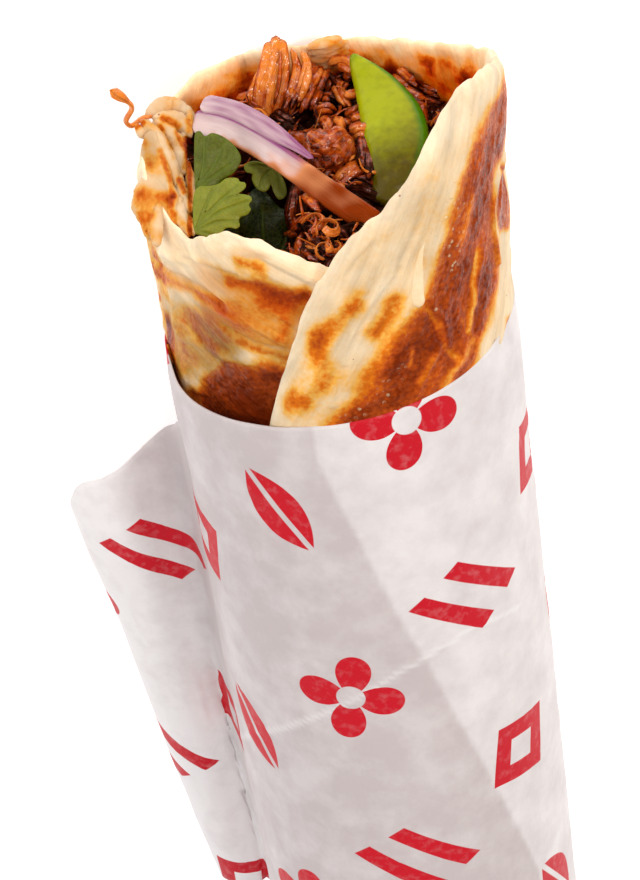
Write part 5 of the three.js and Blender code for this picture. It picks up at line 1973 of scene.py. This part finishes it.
def leaf_shape(blade, outline, centre, veins, cup, wave, age, lift=0.0, thickness=0.4):
    """A leaf blade inside an outline of places, grown out from its centre, with fanned veins."""
    cuts = 500
    edge, _, _ = curve_through(outline, cuts)
    vein_lines = [blade.flat(curve_through(line, 12)[0]) for line in veins]

    def shape(u, v, side):
        k = np.clip(u * cuts, 0, cuts - 0.001)
        k0 = k.astype(int)
        rim = edge[k0] + (edge[k0 + 1] - edge[k0]) * (k - k0)[:, None]
        reach = 0.03 + 0.97 * v
        places = centre + (rim - centre) * reach[:, None]
        spots = blade.flat(places)
        size = np.linalg.norm(places - centre, axis=1)
        vein = np.zeros(len(u))
        for line in vein_lines:
            away = distance_to_line(spots, line)
            vein = np.maximum(vein, (1 - smooth(away, 0.05, 0.4)) * (1 - 0.5 * smooth(size, 3, 12)))
        ripple = wave * grain(solid_place(spots[:, 0], spots[:, 1], age * 9), 3.4, 91) * smooth(v, 0.2, 1)
        bowl = cup * (size / 9) ** 2
        edge_thin = 1 - 0.7 * smooth(v, 0.9, 1)
        off = lift + ripple + bowl - 0.14 * vein + side * thickness / 2 * edge_thin
        places = places + blade.normal * off[:, None]
        return places, spots, {"vein": vein, "age": np.full(len(u), age)}

    return shape


FRONT_BLADE = Blade((-19.7, 4.8, 33.2), (0.98, 0.12, -0.16), (0.2, -0.577, 0.79))
SMALL_BLADE = Blade((-5.2, -4.6, 29.4), (-0.9, 0.25, -0.36), (0, -0.577, 0.79))
BACK_BLADE = Blade((-11.4, 3, 10.4), (0.1, -0.42, 0.9), (1, 0, 0))
# Leaf outlines and veins as pixels of the photograph.
UPPER_LEAFLET = [
    (195, 190), (194, 170), (194, 150), (195, 134), (200, 131), (205, 136), (212, 133), (222, 136),
    (231, 142), (237, 149), (241, 158), (238, 167), (232, 174), (225, 178), (219, 184), (208, 190),
    (199, 194),
]
UPPER_VEINS = [
    [(197, 188), (203, 166), (204, 138)], [(197, 188), (214, 164), (224, 142)],
    [(198, 188), (219, 172), (237, 160)],
]
LOWER_LEAFLET = [
    (194, 234), (193, 215), (194, 195), (199, 187), (210, 186), (219, 184), (226, 179), (233, 178),
    (238, 179), (240, 182), (245, 183), (246, 187), (243, 191), (239, 194), (245, 195), (251, 197),
    (252, 201), (249, 205), (251, 210), (247, 215), (241, 217), (239, 221), (240, 226), (236, 229),
    (229, 228), (224, 230), (222, 236), (216, 240), (209, 239), (202, 236),
]
LOWER_VEINS = [
    [(197, 228), (215, 206), (238, 186)], [(197, 228), (220, 212), (248, 202)],
    [(198, 230), (218, 222), (238, 222)], [(197, 228), (204, 210), (212, 192)],
    [(199, 231), (208, 234), (216, 236)], [(207, 216), (224, 200), (240, 196)],
]
SMALL_OUTLINE = [
    (272, 166), (263, 163), (256, 161), (249, 162), (244, 166), (246, 172), (252, 174), (252, 180),
    (256, 188), (263, 192), (268, 190), (271, 185), (274, 193), (278, 199), (283, 199), (287, 193),
    (285, 183), (280, 174),
]
SMALL_VEINS = [
    [(273, 168), (262, 166), (250, 166)], [(273, 168), (264, 176), (260, 187)],
    [(273, 168), (278, 180), (282, 195)],
]


# Each leaflet: its piece, its node, its plane, outline, veins, the pixel it grows out from, and how
# cupped, wavy and darkened it is, and how far it is lifted off its plane, in mm.
LEAVES = (
    ("coriander_upper", "coriander_front", FRONT_BLADE, UPPER_LEAFLET, UPPER_VEINS, (198, 180),
     {"cup": 0.35, "wave": 0.45, "age": 0.85, "lift": -0.5}),
    ("coriander_lower", "coriander_front", FRONT_BLADE, LOWER_LEAFLET, LOWER_VEINS, (205, 212),
     {"cup": 0.5, "wave": 0.4, "age": 0.1, "lift": 0.3}),
    ("coriander_sprig", "coriander_small", SMALL_BLADE, SMALL_OUTLINE, SMALL_VEINS, (268, 175),
     {"cup": 0.3, "wave": 0.3, "age": 0.2, "lift": 0.0}),
)


def back_outline():
    """The lobed outline of the leaf in the hollow, as in the solid."""
    turns = np.radians(np.linspace(-55, 55, 60))
    reach = 17 * (0.77 + 0.17 * np.cos(4.2 * turns) + 0.06 * np.cos(13.02 * turns + 0.6))
    rim = [BACK_BLADE.out(r, t) for r, t in zip(reach, turns)]
    return [BACK_BLADE.stalk] + rim + [BACK_BLADE.stalk]


# ---- The crumpled side of the bread ------------------------------------------------------------
def rolled(pixel, radius):
    """The place on a cylinder round the axis where a pixel's line of sight meets it."""
    angle, along = seen_on_roll(pixel, radius)
    return on_roll(angle, radius, along)


FLAKE_PATH = [(5.4, -27.6, 33), (5.2, -26.4, 37), (4.6, -25, 39.6)]
# The folds of the bread beside the loose paper. Each is a seed, how rough it is, and its points: a
# pixel, the height above the axis, half the width and half the thickness, in mm.
BREAD_FOLDS = [
    # The smooth pocket, and the bulge below it.
    (1, 0.04, [(151, 134, -8, 1.0, 0.8), (152, 148, -6, 1.9, 1.0), (154, 163, -3, 2.2, 1.0),
               (157, 177, -0.5, 2.5, 1.1), (162, 190, 2, 2.0, 0.8)]),
    (2, 0.05, [(155, 178, -0.5, 2.0, 1.0), (153, 190, 1.6, 3.1, 1.8), (152, 205, 4, 3.3, 2.1),
               (153, 220, 6.5, 2.5, 1.7), (150, 236, 9, 1.0, 0.9)]),
    (3, 0.1, [(168, 184, 1.5, 0.7, 0.7), (172, 196, 3.4, 1.2, 1.0), (173, 211, 6, 1.1, 0.9),
              (173, 226, 8.4, 0.5, 0.5)]),
    (4, 0.1, [(160, 204, 6, 0.4, 0.4), (157, 218, 8, 1.0, 0.8), (156, 231, 10, 1.2, 0.9),
              (157, 244, 12, 0.7, 0.6)]),
    # The rolled edge: two cords of dough, then the loose folds below them.
    (5, 0.16, [(143, 122, -10.6, 0.6, 0.6), (151, 129, -9.4, 1.1, 0.9), (158, 139, -7.8, 1.25, 1.0),
               (165, 151, -5.4, 1.1, 0.9), (171, 163, -3, 1.3, 1.0), (176, 175, -0.8, 1.0, 0.8),
               (176, 186, 1, 0.4, 0.4)]),
    (6, 0.2, [(158, 122, -11, 0.8, 0.8), (165, 129, -10.4, 1.3, 1.0), (172, 138, -9, 1.6, 1.1),
              (178, 149, -6.8, 1.5, 1.0), (180, 161, -4.2, 1.3, 0.9), (180, 174, -1.8, 0.9, 0.7)]),
    (7, 0.16, [(178, 172, -1.6, 0.6, 0.6), (180, 186, 1, 0.95, 0.8), (184, 199, 3.4, 1.0, 0.9),
               (189, 210, 5.6, 1.2, 0.8)]),
    (8, 0.16, [(187, 163, -4.4, 0.5, 0.6), (190, 178, -1.6, 0.8, 0.8), (192, 193, 1.4, 0.95, 0.8),
               (192, 207, 4, 0.7, 0.7), (188, 218, 6, 0.3, 0.4)]),
    (9, 0.14, [(179, 200, 4.0, 0.9, 0.7), (180, 214, 6.6, 1.2, 0.8), (183, 226, 8.6, 0.9, 0.8),
               (189, 235, 10.4, 0.4, 0.5)]),
    (10, 0.14, [(186, 213, 5.6, 0.5, 0.5), (189, 223, 7.6, 0.9, 0.7), (193, 234, 9.6, 0.5, 0.5)]),
    # The lobe at the top: its fold, its front, and its right side.
    (11, 0.09, [(149, 113, -13, 0.8, 0.9), (158, 107, -14, 1.3, 1.2), (168, 105, -15, 1.5, 1.4),
                (179, 107, -15.2, 1.3, 1.3), (187, 112, -14.6, 0.8, 0.8)]),
    (12, 0.08, [(155, 117, -12.6, 0.8, 0.9), (165, 118, -12.8, 1.5, 1.3), (176, 122, -12.6, 1.9, 1.5),
                (185, 128, -11.6, 1.4, 1.2), (190, 135, -10.4, 0.6, 0.6)]),
    (13, 0.1, [(187, 108, -15, 0.6, 0.7), (190, 118, -13.6, 1.1, 1.0), (188, 130, -11.6, 1.0, 0.9),
               (181, 138, -10, 0.5, 0.5)]),
    (14, 0.1, [(137, 126, -9.6, 0.5, 0.5), (142, 133, -9, 0.9, 0.8), (147, 130, -9.6, 0.9, 0.8),
               (148, 122, -10.8, 0.6, 0.6)]),
]
# The pocket that lies in the shade, as a middle and a reach in pixels.
POCKET = ((149, 150), (11, 24))
# Browning on these folds, in pixels: amount, softness, outline; and amount, half width, line.
FRIED_ON_FOLDS = [
    (0.3, 6.0, [(134, 192), (142, 187), (158, 188), (168, 190), (176, 196), (176, 224), (168, 224),
                 (164, 206), (156, 208), (150, 240), (140, 226)]),
    (0.2, 8.0, [(142, 140), (158, 142), (166, 172), (160, 176), (146, 170)]),
]
DARK_ON_FOLDS = [
    (0.42, 4.0, [(163, 118), (172, 122), (178, 126)]),
    (0.3, 4.0, [(190, 112), (189, 130)]),
    (0.3, 3.0, [(136, 128), (143, 122)]),
    (0.35, 3.0, [(160, 150), (168, 172), (174, 196)]),
    (0.28, 2.5, [(176, 132), (186, 152), (184, 168)]),
    (0.45, 3.0, [(179, 180), (184, 192)]),
    (0.5, 2.6, [(186, 138), (189, 160), (190, 190), (190, 236)]),
    (0.05, 5.0, [(146, 196), (160, 196)]),
    (0.05, 9.0, [(151, 140), (154, 166)]),
    (0.08, 2.8, [(144, 140), (148, 160), (152, 176)]),
    (0.25, 2.4, [(160, 126), (168, 140), (174, 158)]),
    (0.22, 3.5, [(176, 214), (188, 230)]),
    (0.22, 3.0, [(139, 214), (147, 236)]),
    (0.2, 3.0, [(170, 196), (174, 222)]),
]


def rumpled(seed, depth, reach=14.0):
    """A skin with small wrinkles and dents."""

    def ridges(u, around):
        skin = solid_place(2.2 * np.cos(around), 2.2 * np.sin(around), u * reach)
        return 1 + depth * (grain(skin, 1.9, seed) + 0.55 * grain(skin, 0.8, seed + 3))

    return ridges


def bread_folds():
    """The crumpled dough beside the loose paper, and the folded flake at the back of the mouth."""
    folds = Bundle()
    for seed, depth, points in BREAD_FOLDS:
        stops = np.linspace(0, 1, len(points))
        half_widths = [point[3] for point in points]
        half_thicknesses = [point[4] for point in points]
        folds.add(
            [at_rise((px, py), rise) for px, py, rise, _, _ in points],
            lambda u, s=stops, w=half_widths, t=half_thicknesses: (np.interp(u, s, w), np.interp(u, s, t)),
            None,
            steps=44,
            sides=26,
            ridges=rumpled(seed, depth),
        )
    folds.add(
        FLAKE_PATH,
        lambda u: (3.7 - 0.9 * u * u, 1.4 - 0.4 * u),
        (1, 0, 0),
        steps=26,
        sides=36,
        ridges=rumpled(20, 0.14),
    )
    return folds


def drip_of_dough():
    """A tongue of batter that ran down the flap and set, and a torn flake at the left."""
    flakes = Bundle()

    def drip_size(u):
        """It swells towards its round end."""
        left = 1 - max(u - 0.88, 0) ** 2 / 0.0146
        half_width = (0.35 + 0.75 * float(smooth(u, 0.1, 0.8))) * math.sqrt(max(left, 0.02))
        half_thickness = (0.2 + 0.25 * float(smooth(u, 0.4, 1))) * math.sqrt(max(left, 0.05))
        return half_width, half_thickness

    flakes.add(
        [rolled((424, 238), 29.2), rolled((420, 258), 29.6), rolled((418, 276), 29.8),
         rolled((417, 292), 29.9), rolled((419, 307), 29.9)],
        drip_size,
        None,
        steps=60,
        sides=20,
        tone=0.13,
    )
    flakes.add(
        [rolled((162, 346), 29.6), rolled((167, 353), 29.3), rolled((174, 363), 28.9)],
        lambda u: (0.2 + 0.5 * float(smooth(u, 0, 0.6)), 0.2),
        UP,
        steps=20,
        sides=12,
        tone=0.62,
    )
    return flakes


# ---- Operators ---------------------------------------------------------------------------------
def roll_settings(context):
    """The sizes and the colours that a maker can change."""
    return context.scene.kati_roll_sizes, context.scene.kati_roll_colours


def bread_of(colours):
    """The flatbread's material, made once for all its pieces."""
    return bpy.data.materials.get("Pan-fried flaky flatbread") or bread_material(colours)


# Lamps: a soft key from the upper right of the picture, one that shines into the roll's mouth,
# and a weaker, wider one from the upper left. Name, place and size in metres, power in watts, colour.
LAMPS = (
    ("key", (-0.78, -0.5, 1.15), 0.3, 6.4, "#FFF8EE"),
    ("mouth", (-0.15, -1.25, 0.85), 0.35, 4.0, "#FFF8EE"),
    ("fill", (0.75, -0.55, 0.85), 0.5, 3.6, "#FFFFFF"),
)
LAMPS_AIM = (0.0, -0.03, 0.02)


class KATI_OT_camera(bpy.types.Operator):
    """Place the camera where the photograph was taken from"""

    bl_idname = "kati_roll.camera"
    bl_label = "Camera"

    def execute(self, context):
        data = bpy.data.cameras.new("photo_camera")
        data.sensor_fit = "VERTICAL"
        data.sensor_height = 36
        data.lens = data.sensor_height * PHOTO_FOCAL / PHOTO_TALL
        data.clip_start = 0.01
        camera = bpy.data.objects.new("photo_camera", data)
        context.scene.collection.objects.link(camera)
        axes = [np.array((-way[0], -way[2], way[1])) for way in (RIGHT, UP, TOWARD)]
        spot = to_model(CAMERA_PLACE)[0]
        camera.matrix_world = Matrix(
            [[axes[0][k], axes[1][k], axes[2][k], spot[k]] for k in range(3)] + [[0, 0, 0, 1]]
        )
        context.scene.camera = camera
        return {"FINISHED"}


class KATI_OT_stage(bpy.types.Operator):
    """Lay a white floor and set soft studio lights round the roll"""

    bl_idname = "kati_roll.stage"
    bl_label = "Stage"

    def execute(self, context):
        _, colours = roll_settings(context)
        deselect()
        bpy.ops.mesh.primitive_grid_add(x_subdivisions=8, y_subdivisions=8, size=4, location=(0, 0, -0.0002))
        floor = context.object
        floor.name = floor.data.name = "floor"
        bpy.ops.object.transform_apply(location=True)
        floor.data.materials.append(floor_material(colours))
        world = bpy.data.worlds.new("studio")
        context.scene.world = world
        world.use_nodes = True
        world.node_tree.nodes.clear()
        sky = add(world.node_tree, "Background", {"Color": linear("#FFFFFF"), "Strength": 0.64})
        add(world.node_tree, "OutputWorld", {"Surface": sky})
        for lamp in LAMPS:
            self.add_lamp(context, *lamp)
        settings = context.scene.view_settings
        settings.view_transform = "Standard"
        settings.look = "None"
        settings.exposure = 0.0
        settings.gamma = 1.0
        return {"FINISHED"}

    def add_lamp(self, context, name, place, size, power, shade):
        data = bpy.data.lights.new(name, "AREA")
        data.shape = "DISK"
        data.size = size
        data.energy = power
        data.color = linear(shade)[:3]
        lamp = bpy.data.objects.new(name, data)
        context.scene.collection.objects.link(lamp)
        lamp.location = place
        aim = Vector(LAMPS_AIM) - Vector(place)
        lamp.rotation_euler = aim.to_track_quat("-Z", "Y").to_euler()


class KATI_OT_paper(bpy.types.Operator):
    """Wrap the printed paper round the roll, with its folded end and its loose curling end"""

    bl_idname = "kati_roll.paper"
    bl_label = "Paper wrapper"

    def execute(self, context):
        sizes, colours = roll_settings(context)
        paper = paper_material(colours)
        tube = bent_slab("paper_wrap", 210, 200, paper_tube_shape(sizes))
        finish_piece(tube, paper, "wrapping_paper", "paper_wrapper")
        curl = bent_slab("paper_loose_end", 90, 90, paper_curl_shape(sizes))
        finish_piece(curl, paper, "wrapping_paper", "paper_wrapper")
        return {"FINISHED"}


class KATI_OT_bread(bpy.types.Operator):
    """Roll up the fried flatbread"""

    bl_idname = "kati_roll.bread"
    bl_label = "Flatbread"

    def execute(self, context):
        sizes, colours = roll_settings(context)
        bread = bent_slab("flatbread", 440, 110, bread_shape(sizes))
        split = bread.modifiers.new("split", "TRIANGULATE")
        split.quad_method = "SHORTEST_DIAGONAL"
        bpy.context.view_layer.objects.active = bread
        bpy.ops.object.modifier_apply(modifier=split.name)
        finish_piece(bread, bread_of(colours), "flatbread", "paratha")
        return {"FINISHED"}


class KATI_OT_folds(bpy.types.Operator):
    """Crumple the bread beside the loose paper, and add its drips and flakes"""

    bl_idname = "kati_roll.folds"
    bl_label = "Bread folds"

    def execute(self, context):
        _, colours = roll_settings(context)
        folds = bread_folds().make("flatbread_folds", "toast", lengthwise=0, crosswise=0)
        places = places_of(folds)
        seen = pixels_of(places)
        brown = np.zeros(len(seen))
        for amount, soft, outline in FRIED_ON_FOLDS:
            depth = depth_in_outline(seen, np.array(outline, float))
            brown = np.maximum(brown, amount * smooth(depth, -soft, soft))
        for amount, half_width, line in DARK_ON_FOLDS:
            away = distance_to_line(seen, np.array(line, float))
            brown = brown + amount * (1 - smooth(away, 0.25 * half_width, 1.6 * half_width))
        brown = brown + 0.13 + 0.16 * grain(places, 3.0, 131)
        flake = smooth(seen[:, 0], 240, 300)
        brown = brown + flake * (0.1 + 0.24 * grain(places, 1.8, 132))
        # Painted shade: the pocket lies in the shade and is painted darker. The flake at the back is made
        # lighter.
        pocket = 1 - smooth(outside_of(seen, POCKET), -0.5, 0.1)
        mark(folds, "pull", 0.2 - 0.5 * pocket + 0.8 * flake)
        mark(folds, "gold", 0.25 + 0.25 * flake)
        mark(folds, "toast", np.clip(brown, 0, 1))
        mark(folds, "soak", flake * (0.05 + 0.45 * smooth(seen[:, 1], 46, 66)))
        finish_piece(folds, bread_of(colours), "flatbread", "paratha")
        flakes = drip_of_dough().make("flatbread_flakes", "toast", pull=0.55, lengthwise=0, crosswise=0)
        finish_piece(flakes, bread_of(colours), "flatbread", "paratha")
        return {"FINISHED"}


class KATI_OT_chicken(bpy.types.Operator):
    """Fill the roll with pulled chicken"""

    bl_idname = "kati_roll.chicken"
    bl_label = "Pulled chicken"

    def execute(self, context):
        sizes, colours = roll_settings(context)
        meat = chicken_material(colours)
        core = bent_slab("chicken_core", 150, 110, filling_shape, walled=False)
        finish_piece(core, meat, "chicken", "shredded_chicken")
        # The shreds that the photograph shows, seeded ones round them, and single fibres.
        shreds = Bundle()
        add_shown_shreds(shreds)
        add_loose_shreds(shreds, sizes.shreds)
        add_frays(shreds, LOOSE_FIBRES)
        loose = shreds.make("chicken_shreds")
        darken_depths(loose, 0.4)
        finish_piece(loose, meat, "chicken", "shredded_chicken")
        chunk = Bundle()
        add_chunk(chunk)
        finish_piece(chunk.make("chicken_lump"), meat, "chicken", "chicken_chunk")
        strip = Bundle()
        add_fibrous(strip)
        finish_piece(strip.make("chicken_strip"), meat, "chicken", "fibrous_chicken")
        curly = Bundle().add(
            CURLY_PATH,
            lambda u: (0.5 + 0.65 * float(smooth(u, 0.72, 0.95)), 0.4 + 0.55 * float(smooth(u, 0.72, 0.95))),
            (0, 1, 0),
            steps=60,
            sides=14,
            tone=0.95,
            ridges=shred_ridges(1.0, 0.1, 3),
        )
        finish_piece(curly.make("curly_strand"), meat, "chicken", "curly_shred")
        return {"FINISHED"}


class KATI_OT_vegetables(bpy.types.Operator):
    """Lay in the onion strips and the slice of green pepper"""

    bl_idname = "kati_roll.vegetables"
    bl_label = "Onion and pepper"

    def execute(self, context):
        _, colours = roll_settings(context)
        onion = onion_material(colours)
        shape = strip_shape(
            ONION_PATH,
            ONION_UP,
            lambda u: 2.15 + 0.15 * smooth(u, 0.5, 0.8),
            lambda u, w: 0.85 + 0 * u,
            lambda u, w: 0.25 * w * w,
            onion_front_marks,
        )
        front = bent_slab("onion_strip_front", 90, 22, shape, FINE_MERGE)
        finish_piece(front, onion, "onion", "onion_front")
        shape = strip_shape(
            ONION_BACK_PATH,
            ONION_UP,
            lambda u: 1.6 * (1 - 0.75 * smooth(u, 0.55, 1)),
            lambda u, w: 0.75 * (1 - 0.4 * smooth(u, 0.6, 1)),
            lambda u, w: -0.3 * w,
            onion_back_marks,
        )
        back = bent_slab("onion_strip_back", 70, 16, shape, FINE_MERGE)
        finish_piece(back, onion, "onion", "onion_back")
        shape = strip_shape(
            PEPPER_PATH,
            np.array((1, 0.2, -0.1)),
            lambda u: 5.3 * np.sin(math.pi * (0.02 + 0.87 * u)) ** 0.85,
            lambda u, w: 1.3 - 0.25 * w,
            lambda u, w: 0.55 * w - 0.5 * w * w,
            pepper_marks,
            rounding=0.7,
        )
        pepper = bent_slab("pepper_slice", 80, 30, shape, FINE_MERGE)
        finish_piece(pepper, pepper_material(colours), "pepper", "green_pepper")
        return {"FINISHED"}


class KATI_OT_leaves(bpy.types.Operator):
    """Tuck in the coriander leaves"""

    bl_idname = "kati_roll.leaves"
    bl_label = "Coriander"

    def execute(self, context):
        _, colours = roll_settings(context)
        green = leaf_material(colours)
        for name, node, blade, outline, veins, middle, looks in LEAVES:
            rim = [blade.seen(pixel) for pixel in outline + outline[:1]]
            lines = [[blade.seen(pixel) for pixel in line] for line in veins]
            shape = leaf_shape(blade, rim, blade.seen(middle), lines, **looks)
            leaf = bent_slab(name, 170, 26, shape, FINE_MERGE)
            finish_piece(leaf, green, "leaf", node)
        fan = [[BACK_BLADE.stalk, BACK_BLADE.out(14, t)] for t in (-0.8, -0.4, 0.0, 0.4, 0.8)]
        middle = BACK_BLADE.stalk + BACK_BLADE.forward * 5
        # The leaf in the hollow is painted near black: painted shade.
        shape = leaf_shape(BACK_BLADE, back_outline(), middle, fan, cup=0.2, wave=0.7, age=2.2)
        back = bent_slab("coriander_hollow", 150, 30, shape, FINE_MERGE)
        finish_piece(back, green, "leaf", "coriander_back")
        return {"FINISHED"}


CLASSES = (
    RollSizes,
    RollColours,
    KATI_OT_camera,
    KATI_OT_stage,
    KATI_OT_paper,
    KATI_OT_bread,
    KATI_OT_folds,
    KATI_OT_chicken,
    KATI_OT_vegetables,
    KATI_OT_leaves,
)
STEPS = ("camera", "stage", "paper", "bread", "folds", "chicken", "vegetables", "leaves")


class KATI_PT_panel(bpy.types.Panel):
    """Lists the roll's pieces in the order they are made"""

    bl_idname = "KATI_PT_panel"
    bl_label = "Kati Roll"
    bl_space_type = "VIEW_3D"
    bl_region_type = "UI"
    bl_category = "Kati Roll"

    def draw(self, context):
        for step in STEPS:
            self.layout.operator("kati_roll." + step)
        for group in (context.scene.kati_roll_sizes, context.scene.kati_roll_colours):
            box = self.layout.box()
            for name in group.__annotations__:
                box.prop(group, name)


def register():
    for made in CLASSES + (KATI_PT_panel,):
        bpy.utils.register_class(made)
    bpy.types.Scene.kati_roll_sizes = PointerProperty(type=RollSizes)
    bpy.types.Scene.kati_roll_colours = PointerProperty(type=RollColours)


def unregister():
    del bpy.types.Scene.kati_roll_colours
    del bpy.types.Scene.kati_roll_sizes
    for made in reversed(CLASSES + (KATI_PT_panel,)):
        bpy.utils.unregister_class(made)


def main():
    register()
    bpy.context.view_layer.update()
    deselect()
    for step in STEPS:
        getattr(bpy.ops.kati_roll, step)()


if __name__ == "__main__":
    main()
